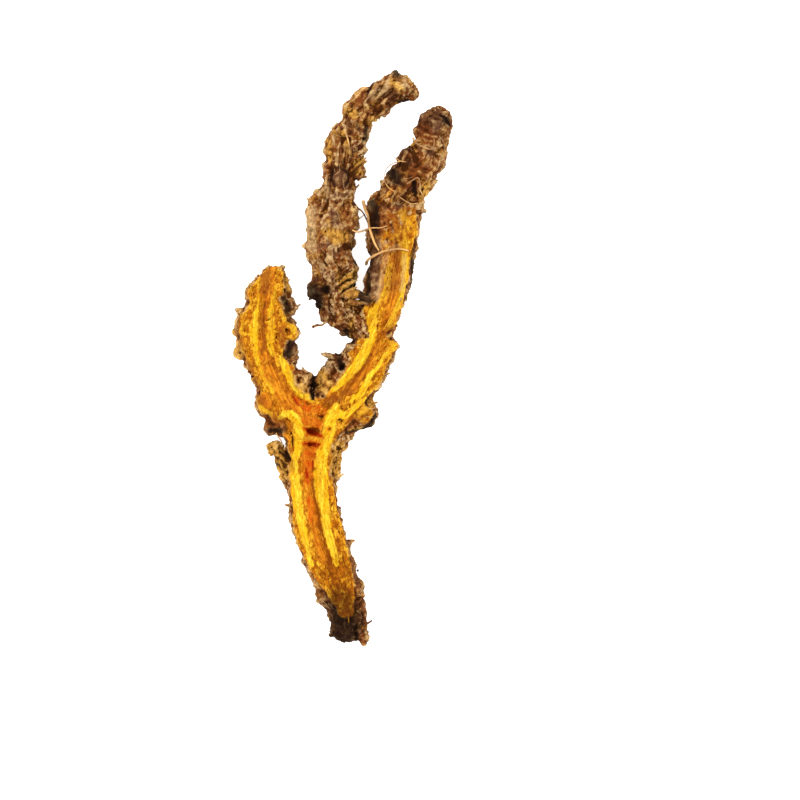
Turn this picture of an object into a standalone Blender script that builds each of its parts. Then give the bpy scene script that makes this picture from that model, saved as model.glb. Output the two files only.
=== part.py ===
"""Coptis rhizome slice: one dried, branching rhizome, cut lengthwise and lying with its cut face up.

The trunk comes from the lower end and forks into three branches. The knife has opened the trunk,
the left branch, the short side branch and the lower half of the right branch. The middle branch
and the top of the right branch passed under the blade and keep their bark all round.

Lengths are in millimetres and become metres when a mesh is finished. X runs to the right, Y towards
the branch tips and Z up, out of the cut face. The origin is the middle of the rhizome's box, on the
surface that it lies on.
"""

import math
import random

import bmesh
import bpy
from mathutils import Matrix, Vector, noise

MM = 0.001
NODE_NAME = "rhizome"

# The knife's face: its height at the origin and how much it climbs towards the tips.
CUT_HEIGHT = 4.15
CUT_RISE = 0.012
CUT_GRAIN = 1.6
CUT_GRAIN_HEIGHT = 0.10
CUT_WAVE = 3.4
CUT_WAVE_HEIGHT = 0.16
KNIFE_CELL = 0.6
KNIFE_TOP = 9.0
KNIFE_MARGIN = 2.0

# The whole piece reaches this far from the origin, which sizes the knife and the surface below.
HALF_LENGTH = 32.0
HALF_WIDTH = 12.5
SURFACE_DEPTH = 3.0

# Rings along a branch, sides round it, and the joints that stand round it like beads.
RING_STEP = 1.0
BRANCH_SIDES = 14
NODE_PITCH = 1.9
NODE_SWELL = 0.055
LUMP_SIZE = 2.3
LUMP_HEIGHT = 0.10


# The joined shapes grow together into one skin of this cell and about this many triangles.
SKIN_CELL = 0.26
SKIN_TRIANGLES = 10600

# Each branch is a list of (x, y, z, half width, half depth), from where it is rooted to its tip.
TRUNK = (
    (0.75, -31.2, 2.0, 0.8, 0.9),
    (0.6, -30.2, 1.9, 1.75, 1.5),
    (0.3, -28.0, 1.85, 2.2, 1.75),
    (-0.6, -25.0, 2.1, 2.45, 2.05),
    (-2.1, -21.0, 2.6, 2.75, 2.55),
    (-3.1, -17.0, 2.75, 2.75, 2.85),
    (-3.5, -13.0, 2.8, 2.55, 2.6),
    (-3.6, -10.0, 2.85, 2.65, 2.5),
    (-3.5, -7.0, 2.9, 3.2, 2.45),
    (-3.2, -5.2, 2.9, 2.7, 2.2),
)
LEFT_BRANCH = (
    (-3.8, -8.6, 2.8, 2.3, 2.2),
    (-5.3, -6.2, 2.8, 2.9, 2.3),
    (-6.8, -3.2, 2.7, 2.8, 2.3),
    (-7.9, -0.8, 2.65, 2.8, 2.4),
    (-8.5, 1.4, 2.55, 3.05, 2.6),
    (-8.6, 3.5, 2.55, 3.2, 2.6),
    (-8.5, 5.4, 2.7, 2.55, 2.2),
    (-8.3, 7.4, 2.85, 2.2, 1.9),
    (-7.8, 9.0, 3.0, 1.55, 1.6),
    (-7.4, 10.1, 3.2, 0.95, 1.1),
)
RIGHT_BRANCH = (
    (-2.9, -8.2, 2.8, 2.0, 2.1),
    (-1.0, -5.4, 2.8, 2.5, 2.2),
    (0.6, -3.0, 2.85, 2.4, 2.2),
    (1.8, -0.8, 2.9, 2.2, 2.2),
    (2.9, 1.8, 2.95, 2.05, 2.2),
    (4.0, 4.6, 3.0, 2.2, 2.2),
    (4.9, 7.6, 3.0, 2.25, 2.25),
    (5.4, 10.6, 2.9, 2.25, 2.4),
    (5.6, 13.6, 2.75, 2.65, 2.8),
    (5.8, 16.4, 2.6, 2.7, 2.35),
    (7.0, 18.8, 2.35, 2.4, 2.0),
    (8.2, 21.0, 2.4, 2.4, 2.0),
    (9.3, 23.0, 2.6, 1.9, 1.9),
    (9.8, 24.8, 2.8, 1.8, 1.7),
    (10.3, 26.4, 3.0, 1.7, 1.4),
    (10.7, 27.5, 3.1, 0.9, 0.8),
)
SIDE_BRANCH = (
    (1.2, -4.7, 2.8, 1.5, 1.6),
    (2.5, -2.6, 2.9, 1.5, 1.7),
    (3.6, -0.6, 3.0, 1.4, 1.7),
    (4.6, 0.9, 3.2, 1.2, 1.5),
    (5.3, 1.6, 3.3, 0.85, 1.2),
)
MIDDLE_BRANCH = (
    (2.7, 2.4, 2.5, 1.1, 1.4),
    (1.5, 3.8, 2.4, 1.7, 1.7),
    (-0.2, 5.3, 2.4, 2.0, 1.95),
    (-1.0, 7.6, 2.5, 2.15, 2.1),
    (-1.3, 10.2, 2.6, 2.35, 2.25),
    (-1.4, 12.6, 2.6, 2.55, 2.4),
    (-1.35, 15.2, 2.55, 2.6, 2.4),
    (-0.9, 17.6, 2.65, 2.0, 2.1),
    (-0.4, 19.6, 2.75, 1.8, 1.8),
    (-0.1, 22.0, 2.75, 1.85, 1.7),
    (0.5, 24.2, 2.75, 1.75, 1.7),
    (1.3, 26.0, 2.8, 1.6, 1.7),
    (2.5, 27.8, 2.9, 1.6, 1.65),
    (4.2, 29.0, 3.0, 1.65, 1.65),
    (6.0, 29.6, 3.1, 1.6, 1.6),
    (7.3, 29.4, 3.1, 1.1, 1.2),
)
END_STUB = (
    (1.6, -28.0, 2.0, 0.75, 0.8),
    (2.1, -29.6, 2.0, 0.6, 0.65),
    (2.3, -30.9, 1.9, 0.5, 0.5),
    (2.25, -31.8, 1.9, 0.38, 0.4),
)

# Lobes are (x, y, z, half sizes along, across and up, turn of the long side in degrees).
# The first set stands in the blade's way and shows cut flesh. The second keeps its bark.
CUT_LOBES = (
    (-5.9, 2.7, 3.2, 1.35, 1.1, 1.7, 60),
    (-10.9, 4.1, 2.9, 1.4, 0.95, 1.6, 70),
    (-10.0, 7.4, 3.1, 1.1, 0.7, 1.4, 60),
    (-7.2, 9.4, 3.1, 1.0, 0.8, 1.3, 70),
    (-9.0, -5.0, 2.9, 1.5, 0.9, 1.5, 100),
    (-0.1, -9.0, 2.9, 1.3, 0.7, 1.5, 80),
    (-10.9, 1.6, 2.9, 1.1, 0.9, 1.5, 80),
    (7.5, 14.2, 3.2, 1.5, 0.9, 1.4, 80),
    (5.3, 1.2, 3.3, 0.95, 0.7, 1.2, 35),
    (3.9, -1.9, 3.0, 1.3, 0.7, 1.4, 50),
)
BARK_LOBES = (
    (-7.8, -7.5, 2.4, 1.25, 0.95, 1.5, 10),
    (-7.6, -9.9, 2.3, 1.0, 0.8, 1.3, -20),
    (-6.8, -11.3, 2.2, 1.1, 0.8, 1.2, 110),
    (-6.4, -12.7, 2.4, 1.1, 0.85, 1.2, 90),
    (-0.9, -10.6, 2.4, 1.1, 0.75, 1.4, 80),
    (-0.9, -12.4, 2.3, 1.1, 0.55, 1.2, 100),
    (2.4, -6.2, 2.5, 1.75, 1.35, 1.6, 50),
    (0.7, -8.1, 2.4, 1.1, 0.7, 1.2, 30),
    (-2.2, -2.6, 2.4, 1.9, 0.95, 1.5, 75),
    (-0.9, -0.3, 2.7, 1.15, 0.75, 1.1, 15),
    (0.9, 0.5, 2.8, 1.0, 0.8, 1.3, 60),
    (-4.4, -2.1, 2.8, 1.05, 0.95, 1.4, 100),
    (-5.7, 0.7, 2.3, 1.1, 0.8, 1.4, 110),
    (-6.2, 6.3, 2.6, 0.9, 0.7, 1.2, 80),
    (-5.9, 5.3, 2.7, 1.1, 0.55, 0.9, 30),
    (-11.4, 0.6, 2.3, 0.8, 0.6, 0.9, 90),
    (5.0, 3.0, 2.5, 1.0, 0.7, 1.2, 60),
    (3.1, 8.4, 2.2, 2.6, 0.75, 1.5, 82),
    (3.4, 16.8, 2.6, 1.4, 0.8, 1.7, 85),
    (3.1, 13.4, 2.2, 2.0, 0.7, 1.4, 85),
    (5.4, 19.9, 2.5, 1.5, 0.8, 1.6, 80),
    (8.6, 18.9, 2.6, 1.4, 0.9, 1.5, 60),
    (7.0, 21.8, 2.9, 1.35, 1.2, 1.4, 60),
    (8.8, 21.6, 3.1, 1.1, 0.9, 1.3, 100),
    (10.4, 21.8, 2.6, 1.6, 0.8, 1.4, 70),
    (9.3, 25.2, 2.9, 1.3, 1.0, 1.4, 60),
    (10.8, 24.0, 2.8, 1.3, 0.8, 1.3, 80),
    (11.1, 26.4, 2.9, 1.1, 0.85, 1.1, 100),
    (-3.1, 15.9, 2.9, 2.3, 1.0, 1.7, 88),
    (-3.3, 11.9, 2.6, 2.2, 0.75, 1.5, 95),
    (0.9, 15.6, 2.9, 1.9, 0.8, 1.5, 95),
    (-2.6, 7.4, 2.9, 1.3, 1.2, 1.7, 20),
    (-3.4, 7.9, 3.0, 0.75, 0.5, 0.7, -20),
    (-1.7, 4.9, 2.6, 1.3, 1.0, 1.6, 30),
    (0.9, 9.2, 3.1, 1.6, 0.65, 1.5, 85),
    (-1.4, 23.4, 3.1, 1.6, 0.75, 1.4, 88),
    (-1.7, 20.2, 2.7, 1.3, 0.65, 1.2, 90),
    (1.9, 22.8, 2.9, 1.4, 0.6, 1.0, 75),
    (1.9, 20.8, 2.8, 1.1, 0.55, 0.9, 90),
    (2.3, 25.0, 3.1, 1.0, 0.7, 1.0, 50),
    (0.9, 27.7, 3.3, 1.4, 0.9, 1.4, 50),
    (2.0, 29.0, 3.4, 1.3, 0.8, 1.3, 35),
    (4.4, 27.2, 3.1, 0.9, 0.6, 1.0, 30),
    (4.9, 28.6, 3.6, 1.7, 0.9, 1.3, 30),
    (6.2, 30.0, 3.4, 1.4, 1.1, 1.4, 60),
    (5.7, 31.1, 3.1, 0.6, 0.5, 0.7, 90),
    (7.4, 29.3, 3.1, 0.95, 0.8, 1.2, 100),
    (-0.9, -30.0, 1.8, 0.9, 0.6, 0.9, 70),
)

# Places where the flesh has shrunk or torn away below the cut face, written as the lobes are.
HOLLOWS = (
    (-3.9, -5.2, 3.9, 1.7, 0.45, 0.9, -28),
    (-2.6, -6.3, 3.6, 0.8, 0.35, 0.8, -12),
    (-3.35, -8.0, 2.9, 0.95, 0.5, 1.3, -8),
    (-3.45, -9.5, 2.9, 0.85, 0.42, 1.1, -5),
    (-3.3, -3.2, 3.0, 1.5, 0.28, 2.2, 88),
    (-6.3, 3.1, 4.2, 0.35, 0.3, 0.8, 0),
)
LOBE_ROUGHNESS = 0.16
LOBE_GRAIN = 1.7
LOBE_DETAIL = 3

# The soft centre of the cut face has shrunk into grooves, each a list of (x, y, half width, depth).
PITH_LINES = (
    ((-1.2, -23.5, 0.3, 0.15), (-2.4, -19.5, 0.6, 0.6), (-3.3, -14.5, 0.7, 0.9), (-3.4, -9.5, 0.85, 1.25),
     (-3.2, -6.2, 0.9, 0.9), (-4.6, -4.6, 0.9, 0.75), (-6.4, -3.2, 0.75, 0.35), (-7.8, -0.4, 0.6, 0.3),
     (-8.9, 2.6, 0.5, 0.35), (-8.8, 5.4, 0.4, 0.3), (-8.3, 8.2, 0.75, 0.35), (-7.9, 10.4, 0.8, 0.1)),
    ((-3.0, -6.0, 0.8, 0.8), (-1.4, -4.6, 0.6, 0.3), (1.1, -2.6, 0.55, 0.35), (2.3, -0.9, 0.5, 0.4),
     (3.3, 1.0, 0.45, 0.35), (4.4, 3.4, 0.35, 0.2), (5.1, 6.6, 0.5, 0.3), (5.7, 9.8, 0.55, 0.35),
     (6.0, 12.4, 0.4, 0.15)),
)

# Short root stubs and bark nodules, placed by a seeded draw on the branches' flanks and underside.
SEED = 11
STUBS_PER_MM = 0.34
NODULES_PER_MM = 0.75
STUB_RADIUS = (0.30, 0.42)
STUB_LENGTH = (0.4, 1.0)
STUB_SIDES = 5
STUB_SINK = 0.7
NODULE_RADIUS = (0.45, 0.85)
NODULE_SINK = 0.45
CLEAR_OF_CUT = 1.1
CLEAR_OF_SURFACE = 0.5
TRIES = 40
STUB_STEEPEST = 0.75

# Where they stand: a branch, the stretch of it as shares of its length, and whether its top is bark too.
BARK_ZONES = (
    (TRUNK, 0.03, 0.14, True),
    (TRUNK, 0.14, 0.92, False),
    (LEFT_BRANCH, 0.12, 0.94, False),
    (RIGHT_BRANCH, 0.15, 0.64, False),
    (RIGHT_BRANCH, 0.64, 0.98, True),
    (MIDDLE_BRANCH, 0.12, 0.98, True),
)


def clear_scene():
    for obj in list(bpy.data.objects):
        bpy.data.objects.remove(obj)


def along(stations, share):
    """The values of a list of stations at a share of its length from 0 to 1, on a Catmull-Rom curve."""
    last = len(stations) - 1
    place = min(max(share, 0.0), 1.0) * last
    i = min(int(place), last - 1)
    t = place - i
    four = [stations[min(max(i + k, 0), last)] for k in (-1, 0, 1, 2)]
    return [
        0.5 * (2 * b + (c - a) * t + (2 * a - 5 * b + 4 * c - d) * t * t + (3 * b - a - 3 * c + d) * t ** 3)
        for a, b, c, d in zip(*four)
    ]


def length_of(stations):
    return sum((Vector(b[:3]) - Vector(a[:3])).length for a, b in zip(stations, stations[1:]))


def frame_at(stations, share):
    """The centre of a branch, the way it runs, its level side direction, its upward one and its two half sizes."""
    x, y, z, wide, deep = along(stations, share)
    step = 0.01
    run = Vector(along(stations, share + step)[:3]) - Vector(along(stations, share - step)[:3])
    run.normalize()
    side = run.cross(Vector((0, 0, 1))).normalized()
    return Vector((x, y, z)), run, side, side.cross(run), wide, deep


def lump(point, size):
    """A smooth swelling from -1 to 1 that depends only on the place."""
    return noise.noise(point / size)


def surface_point(stations, share, angle, reach=1.0):
    """A point on a branch's skin, or at a share of the way out to it. Angle 0 is its right side and 90 its top."""
    centre, run, side, up, wide, deep = frame_at(stations, share)
    out = side * (math.cos(angle) * wide) + up * (math.sin(angle) * deep)
    bead = NODE_SWELL * math.cos(2 * math.pi * share * length_of(stations) / NODE_PITCH)
    rough = LUMP_HEIGHT * lump(centre + out, LUMP_SIZE)
    return centre + out * (reach * (1 + bead + rough)), out.normalized()


def finished(bm, name):
    """A scene object from a bmesh in millimetres, with its faces turned outwards."""
    bmesh.ops.recalc_face_normals(bm, faces=bm.faces)
    bmesh.ops.triangulate(bm, faces=[f for f in bm.faces if len(f.verts) > 4])
    bmesh.ops.scale(bm, vec=Vector((MM, MM, MM)), verts=bm.verts)
    mesh = bpy.data.meshes.new(name)
    bm.to_mesh(mesh)
    bm.free()
    obj = bpy.data.objects.new(name, mesh)
    bpy.context.scene.collection.objects.link(obj)
    return obj


def swept(rings, name):
    """A closed solid through rings of points: a disc is extruded from ring to ring."""
    bm = bmesh.new()
    bmesh.ops.create_circle(bm, cap_ends=True, segments=len(rings[0]), radius=1)
    bm.faces.ensure_lookup_table()
    face = bm.faces[0]
    for vert, point in zip(face.verts, rings[0]):
        vert.co = point
    for k, ring in enumerate(rings[1:]):
        grown = bmesh.ops.extrude_face_region(bm, geom=[face])["geom"]
        if k:
            bmesh.ops.delete(bm, geom=[face], context="FACES_ONLY")
        face = next(g for g in grown if isinstance(g, bmesh.types.BMFace))
        for vert, point in zip(face.verts, ring):
            vert.co = point
    return finished(bm, name)


def branch(stations, name):
    count = max(4, round(length_of(stations) / RING_STEP))
    turns = [2 * math.pi * k / BRANCH_SIDES for k in range(BRANCH_SIDES)]
    rings = [[surface_point(stations, i / count, a)[0] for a in turns] for i in range(count + 1)]
    return swept(rings, name)


def ball(centre, halves, turn, name):
    """An ellipsoid with an uneven skin, turned about the upright."""
    bm = bmesh.new()
    bmesh.ops.create_icosphere(bm, subdivisions=LOBE_DETAIL, radius=1)
    place = Matrix.Translation(centre) @ Matrix.Rotation(turn, 4, "Z") @ Matrix.Diagonal((*halves, 1))
    for vert in bm.verts:
        vert.co = vert.co * (1 + LOBE_ROUGHNESS * noise.noise(vert.co * LOBE_GRAIN + centre))
    bmesh.ops.transform(bm, matrix=place, verts=bm.verts)
    return finished(bm, name)


def lobes(table, name):
    made = []
    for k, (x, y, z, long, across, up, turn) in enumerate(table):
        made.append(ball(Vector((x, y, z)), (long, across, up), math.radians(turn), f"{name}_{k}"))
    return made


def cut_height(x, y):
    return CUT_HEIGHT + CUT_RISE * y


def groove_depth(x, y):
    """How far the pith has sunk below the knife's face at a place."""
    deepest = 0.0
    for line in PITH_LINES:
        for k in range(len(line) - 1):
            a, b = line[k], line[k + 1]
            start, run = Vector(a[:2]), Vector(b[:2]) - Vector(a[:2])
            share = min(max((Vector((x, y)) - start).dot(run) / run.length_squared, 0.0), 1.0)
            away = (Vector((x, y)) - start - run * share).length
            half = a[2] + (b[2] - a[2]) * share
            depth = a[3] + (b[3] - a[3]) * share
            deepest = max(deepest, depth * math.exp(-((away / half) ** 2)))
    return deepest


def knife_face(x, y):
    """The height that the blade left at a place: a rough plane with the pith sunk into it."""
    place = Vector((x, y, 0))
    rough = CUT_GRAIN_HEIGHT * lump(place, CUT_GRAIN) + CUT_WAVE_HEIGHT * lump(place, CUT_WAVE)
    return cut_height(x, y) + rough - groove_depth(x, y)


def knife():
    """Everything above the cut face: a grid laid on it and extruded upwards."""
    bm = bmesh.new()
    wide, tall = HALF_WIDTH + KNIFE_MARGIN, HALF_LENGTH + KNIFE_MARGIN
    bmesh.ops.create_grid(
        bm, x_segments=round(2 * wide / KNIFE_CELL), y_segments=round(2 * tall / KNIFE_CELL), size=1
    )
    bmesh.ops.scale(bm, vec=Vector((wide, tall, 1)), verts=bm.verts)
    for vert in bm.verts:
        vert.co.z = knife_face(vert.co.x, vert.co.y)
    lid = bmesh.ops.extrude_face_region(bm, geom=list(bm.faces))["geom"]
    for vert in (g for g in lid if isinstance(g, bmesh.types.BMVert)):
        vert.co.z = KNIFE_TOP
    return finished(bm, "knife")


def surface_below():
    """What lies under the surface that the rhizome rests on, so that its low points are flat."""
    bm = bmesh.new()
    bmesh.ops.create_cube(bm, size=2)
    bmesh.ops.scale(bm, vec=Vector((2 * HALF_WIDTH, 2 * HALF_LENGTH, SURFACE_DEPTH)), verts=bm.verts)
    bmesh.ops.translate(bm, vec=Vector((0, 0, -SURFACE_DEPTH)), verts=bm.verts)
    return finished(bm, "surface_below")


def root_stub(root, out, radius, length, name):
    """A broken root: a short cone sunk well into the bark, its end a little bent."""
    bend = Vector((0, 0, -0.15 * length))
    steps = ((-STUB_SINK, 1.15), (0.0, 1.05), (0.55 * length, 0.85), (length, 0.62))
    side = out.cross(Vector((0.31, 0.17, 0.93))).normalized()
    other = out.cross(side)
    rings = []
    for step, share in steps:
        centre = root + out * step + bend * max(step, 0) / length
        rings.append([
            centre + (side * math.cos(a) + other * math.sin(a)) * radius * share
            for a in (2 * math.pi * k / STUB_SIDES for k in range(STUB_SIDES))
        ])
    return swept(rings, name)


def on_bark(zone, draw):
    """A random place on the bark of a zone, clear of the cut face, with its outward direction."""
    stations, first, last, all_round = zone
    for _ in range(TRIES):
        turn = draw.uniform(-1, 1) if all_round else draw.uniform(-1.1, 0.1)
        point, out = surface_point(stations, draw.uniform(first, last), turn * math.pi)
        clear = all_round or point.z < cut_height(point.x, point.y) - CLEAR_OF_CUT
        if clear and point.z > CLEAR_OF_SURFACE:
            return point, out
    return None


def repeats(zone, draw, name):
    """The root stubs and nodules of one zone of bark."""
    stations, first, last, all_round = zone
    long = length_of(stations) * (last - first) * (1.5 if all_round else 1.0)
    made = []
    for k in range(round(long * STUBS_PER_MM)):
        found = on_bark(zone, draw)
        radius, reach = draw.uniform(*STUB_RADIUS), draw.uniform(*STUB_LENGTH)
        if found and abs(found[1].z) < STUB_STEEPEST:
            made.append(root_stub(*found, radius, reach, f"{name}_stub_{k}"))
    for k in range(round(long * NODULES_PER_MM)):
        found = on_bark(zone, draw)
        size = draw.uniform(*NODULE_RADIUS)
        halves = (size * draw.uniform(0.9, 1.4), size, size * draw.uniform(0.7, 1.0))
        turn = draw.uniform(0, math.pi)
        if found:
            centre = found[0] - found[1] * size * NODULE_SINK
            made.append(ball(centre, halves, turn, f"{name}_nodule_{k}"))
    return made


def applied(obj, modifier):
    with bpy.context.temp_override(object=obj, active_object=obj):
        bpy.ops.object.modifier_apply(modifier=modifier.name)


def boolean(obj, operation, others):
    """Applies one Boolean on a collection to obj, and removes the collection's objects."""
    group = bpy.data.collections.new(operation)
    bpy.context.scene.collection.children.link(group)
    for other in others:
        bpy.context.scene.collection.objects.unlink(other)
        group.objects.link(other)
    modifier = obj.modifiers.new(operation, "BOOLEAN")
    modifier.operation = operation
    modifier.operand_type = "COLLECTION"
    modifier.collection = group
    modifier.solver = "MANIFOLD"
    applied(obj, modifier)
    for other in list(group.objects):
        bpy.data.objects.remove(other)
    bpy.data.collections.remove(group)
    return obj


def grown_together(obj):
    """Melts the joined shapes into one skin, and thins that skin out where it is nearly flat."""
    skin = obj.modifiers.new("skin", "REMESH")
    skin.mode = "VOXEL"
    skin.voxel_size = SKIN_CELL * MM
    applied(obj, skin)
    thin = obj.modifiers.new("thin_out", "DECIMATE")
    thin.ratio = SKIN_TRIANGLES / sum(len(face.vertices) - 2 for face in obj.data.polygons)
    applied(obj, thin)


def largest_body(obj):
    """Drops loose scraps and sealed hollows: only the piece with the most points stays."""
    bm = bmesh.new()
    bm.from_mesh(obj.data)
    left = set(bm.verts)
    pieces = []
    while left:
        piece, edge_of_it = set(), [left.pop()]
        while edge_of_it:
            vert = edge_of_it.pop()
            piece.add(vert)
            near = {edge.other_vert(vert) for edge in vert.link_edges} & left
            left -= near
            edge_of_it.extend(near)
        pieces.append(piece)
    pieces.sort(key=len)
    bmesh.ops.delete(bm, geom=[vert for piece in pieces[:-1] for vert in piece], context="VERTS")
    bm.to_mesh(obj.data)
    bm.free()


def bark_material():
    material = bpy.data.materials.new("dried_rhizome")
    material.use_nodes = True
    shader = material.node_tree.nodes["Principled BSDF"]
    shader.inputs["Base Color"].default_value = (0.42, 0.22, 0.05, 1)
    shader.inputs["Roughness"].default_value = 0.8
    shader.inputs["Metallic"].default_value = 0.0
    return material


def rhizome():
    draw = random.Random(SEED)
    body = branch(TRUNK, NODE_NAME)
    opened = [branch(LEFT_BRANCH, "left_branch"), branch(RIGHT_BRANCH, "right_branch"), branch(SIDE_BRANCH, "side_branch")]
    boolean(body, "UNION", opened + lobes(CUT_LOBES, "cut_lobe"))
    boolean(body, "DIFFERENCE", [knife()])
    boolean(body, "DIFFERENCE", lobes(HOLLOWS, "hollow"))
    added = [branch(MIDDLE_BRANCH, "middle_branch"), branch(END_STUB, "end_stub")]
    added += lobes(BARK_LOBES, "bark_lobe")
    for k, zone in enumerate(BARK_ZONES):
        added += repeats(zone, draw, f"zone_{k}")
    boolean(body, "UNION", added)
    grown_together(body)
    largest_body(body)
    boolean(body, "DIFFERENCE", [surface_below()])
    body.data.materials.clear()
    body.data.materials.append(bark_material())
    return body


def main():
    clear_scene()
    rhizome()


main()
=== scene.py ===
"""Coptis rhizome slice: the fine skin, cut flesh, bark scales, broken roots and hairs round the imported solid.

Lengths in the tables are millimetres. A mark on the cut face or the bark is written in steps of a
sheet laid over the rhizome from above: a step is 0.11 mm, x runs right and y runs down.
"""

import math
import random

import bmesh
import bpy
import numpy as np
from bpy.props import FloatProperty, FloatVectorProperty, IntProperty, PointerProperty
from mathutils import Matrix, Vector, noise
from mathutils.bvhtree import BVHTree
from mathutils.kdtree import KDTree


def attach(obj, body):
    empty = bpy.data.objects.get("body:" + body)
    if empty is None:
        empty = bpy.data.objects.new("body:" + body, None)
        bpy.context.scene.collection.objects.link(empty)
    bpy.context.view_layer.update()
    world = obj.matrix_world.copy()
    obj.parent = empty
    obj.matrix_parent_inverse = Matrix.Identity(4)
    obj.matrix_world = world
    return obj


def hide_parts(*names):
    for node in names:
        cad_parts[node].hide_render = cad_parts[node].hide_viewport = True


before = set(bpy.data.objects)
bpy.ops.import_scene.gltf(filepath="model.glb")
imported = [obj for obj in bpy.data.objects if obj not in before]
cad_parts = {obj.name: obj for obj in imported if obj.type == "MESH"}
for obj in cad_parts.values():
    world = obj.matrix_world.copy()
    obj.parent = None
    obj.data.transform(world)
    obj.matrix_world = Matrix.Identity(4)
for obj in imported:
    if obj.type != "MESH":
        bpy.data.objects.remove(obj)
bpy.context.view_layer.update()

bl_info = {
    "name": "Coptis rhizome slice",
    "version": (1, 0, 0),
    "blender": (4, 5, 0),
    "location": "View3D > Sidebar > Rhizome",
    "description": "Dresses the solid of a dried, cut rhizome with flesh, bark, scales and broken roots",
    "category": "Object",
}

MM = 0.001
NODE = "rhizome"
TISSUE = "rhizome_tissue"

# How bright a pure white would look on the stage, where 1 is white.
STAGE_LIGHT = 1.2

# The sheet that marks are written on: its step in millimetres, its side and the origin's place in steps.
STEP = 0.11
SHEET_SIDE = 800
SHEET_X, SHEET_Y = 343.5, 358.5

# The branches as the solid has them: (x, y, z, half width, half depth) from root to tip.
BRANCHES = {
    "trunk": (
        (0.75, -31.2, 2.0, 0.8, 0.9), (0.6, -30.2, 1.9, 1.75, 1.5), (0.3, -28.0, 1.85, 2.2, 1.75),
        (-0.6, -25.0, 2.1, 2.45, 2.05), (-2.1, -21.0, 2.6, 2.75, 2.55), (-3.1, -17.0, 2.75, 2.75, 2.85),
        (-3.5, -13.0, 2.8, 2.55, 2.6), (-3.6, -10.0, 2.85, 2.65, 2.5), (-3.5, -7.0, 2.9, 3.2, 2.45),
        (-3.2, -5.2, 2.9, 2.7, 2.2),
    ),
    "left": (
        (-3.8, -8.6, 2.8, 2.3, 2.2), (-5.3, -6.2, 2.8, 2.9, 2.3), (-6.8, -3.2, 2.7, 2.8, 2.3),
        (-7.9, -0.8, 2.65, 2.8, 2.4), (-8.5, 1.4, 2.55, 3.05, 2.6), (-8.6, 3.5, 2.55, 3.2, 2.6),
        (-8.5, 5.4, 2.7, 2.55, 2.2), (-8.3, 7.4, 2.85, 2.2, 1.9), (-7.8, 9.0, 3.0, 1.55, 1.6),
        (-7.4, 10.1, 3.2, 0.95, 1.1),
    ),
    "right": (
        (-2.9, -8.2, 2.8, 2.0, 2.1), (-1.0, -5.4, 2.8, 2.5, 2.2), (0.6, -3.0, 2.85, 2.4, 2.2),
        (1.8, -0.8, 2.9, 2.2, 2.2), (2.9, 1.8, 2.95, 2.05, 2.2), (4.0, 4.6, 3.0, 2.2, 2.2),
        (4.9, 7.6, 3.0, 2.25, 2.25), (5.4, 10.6, 2.9, 2.25, 2.4), (5.6, 13.6, 2.75, 2.65, 2.8),
        (5.8, 16.4, 2.6, 2.7, 2.35), (7.0, 18.8, 2.35, 2.4, 2.0), (8.2, 21.0, 2.4, 2.4, 2.0),
        (9.3, 23.0, 2.6, 1.9, 1.9), (9.8, 24.8, 2.8, 1.8, 1.7), (10.3, 26.4, 3.0, 1.7, 1.4),
        (10.7, 27.5, 3.1, 0.9, 0.8),
    ),
    "side": (
        (1.2, -4.7, 2.8, 1.5, 1.6), (2.5, -2.6, 2.9, 1.5, 1.7), (3.6, -0.6, 3.0, 1.4, 1.7),
        (4.6, 0.9, 3.2, 1.2, 1.5), (5.3, 1.6, 3.3, 0.85, 1.2),
    ),
    "middle": (
        (2.7, 2.4, 2.5, 1.1, 1.4), (1.5, 3.8, 2.4, 1.7, 1.7), (-0.2, 5.3, 2.4, 2.0, 1.95),
        (-1.0, 7.6, 2.5, 2.15, 2.1), (-1.3, 10.2, 2.6, 2.35, 2.25), (-1.4, 12.6, 2.6, 2.55, 2.4),
        (-1.35, 15.2, 2.55, 2.6, 2.4), (-0.9, 17.6, 2.65, 2.0, 2.1), (-0.4, 19.6, 2.75, 1.8, 1.8),
        (-0.1, 22.0, 2.75, 1.85, 1.7), (0.5, 24.2, 2.75, 1.75, 1.7), (1.3, 26.0, 2.8, 1.6, 1.7),
        (2.5, 27.8, 2.9, 1.6, 1.65), (4.2, 29.0, 3.0, 1.65, 1.65), (6.0, 29.6, 3.1, 1.6, 1.6),
        (7.3, 29.4, 3.1, 1.1, 1.2),
    ),
}
# The shares of a branch's length between which the knife opened it.
OPENED = {"trunk": (0.2, 1), "left": (0, 1), "right": (0, 0.64), "side": (0, 1)}

# The knife's face, as the solid has it: height at the origin, climb, and pith sunk along lines.
CUT_HEIGHT = 4.15
CUT_RISE = 0.012
CUT_GRAIN = 1.6
CUT_GRAIN_HEIGHT = 0.10
CUT_WAVE = 3.4
CUT_WAVE_HEIGHT = 0.16
PITH_GROOVES = (
    ((-1.2, -23.5, 0.3, 0.15), (-2.4, -19.5, 0.6, 0.6), (-3.3, -14.5, 0.7, 0.9), (-3.4, -9.5, 0.85, 1.25),
     (-3.2, -6.2, 0.9, 0.9), (-4.6, -4.6, 0.9, 0.75), (-6.4, -3.2, 0.75, 0.35), (-7.8, -0.4, 0.6, 0.3),
     (-8.9, 2.6, 0.5, 0.35), (-8.8, 5.4, 0.4, 0.3), (-8.3, 8.2, 0.75, 0.35), (-7.9, 10.4, 0.8, 0.1)),
    ((-3, -6, 0.8, 0.8), (-1.4, -4.6, 0.6, 0.3), (1.1, -2.6, 0.55, 0.35), (2.3, -0.9, 0.5, 0.4),
     (3.3, 1, 0.45, 0.35), (4.4, 3.4, 0.35, 0.2), (5.1, 6.6, 0.5, 0.3), (5.7, 9.8, 0.55, 0.35),
     (6, 12.4, 0.4, 0.15)),
)

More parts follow.
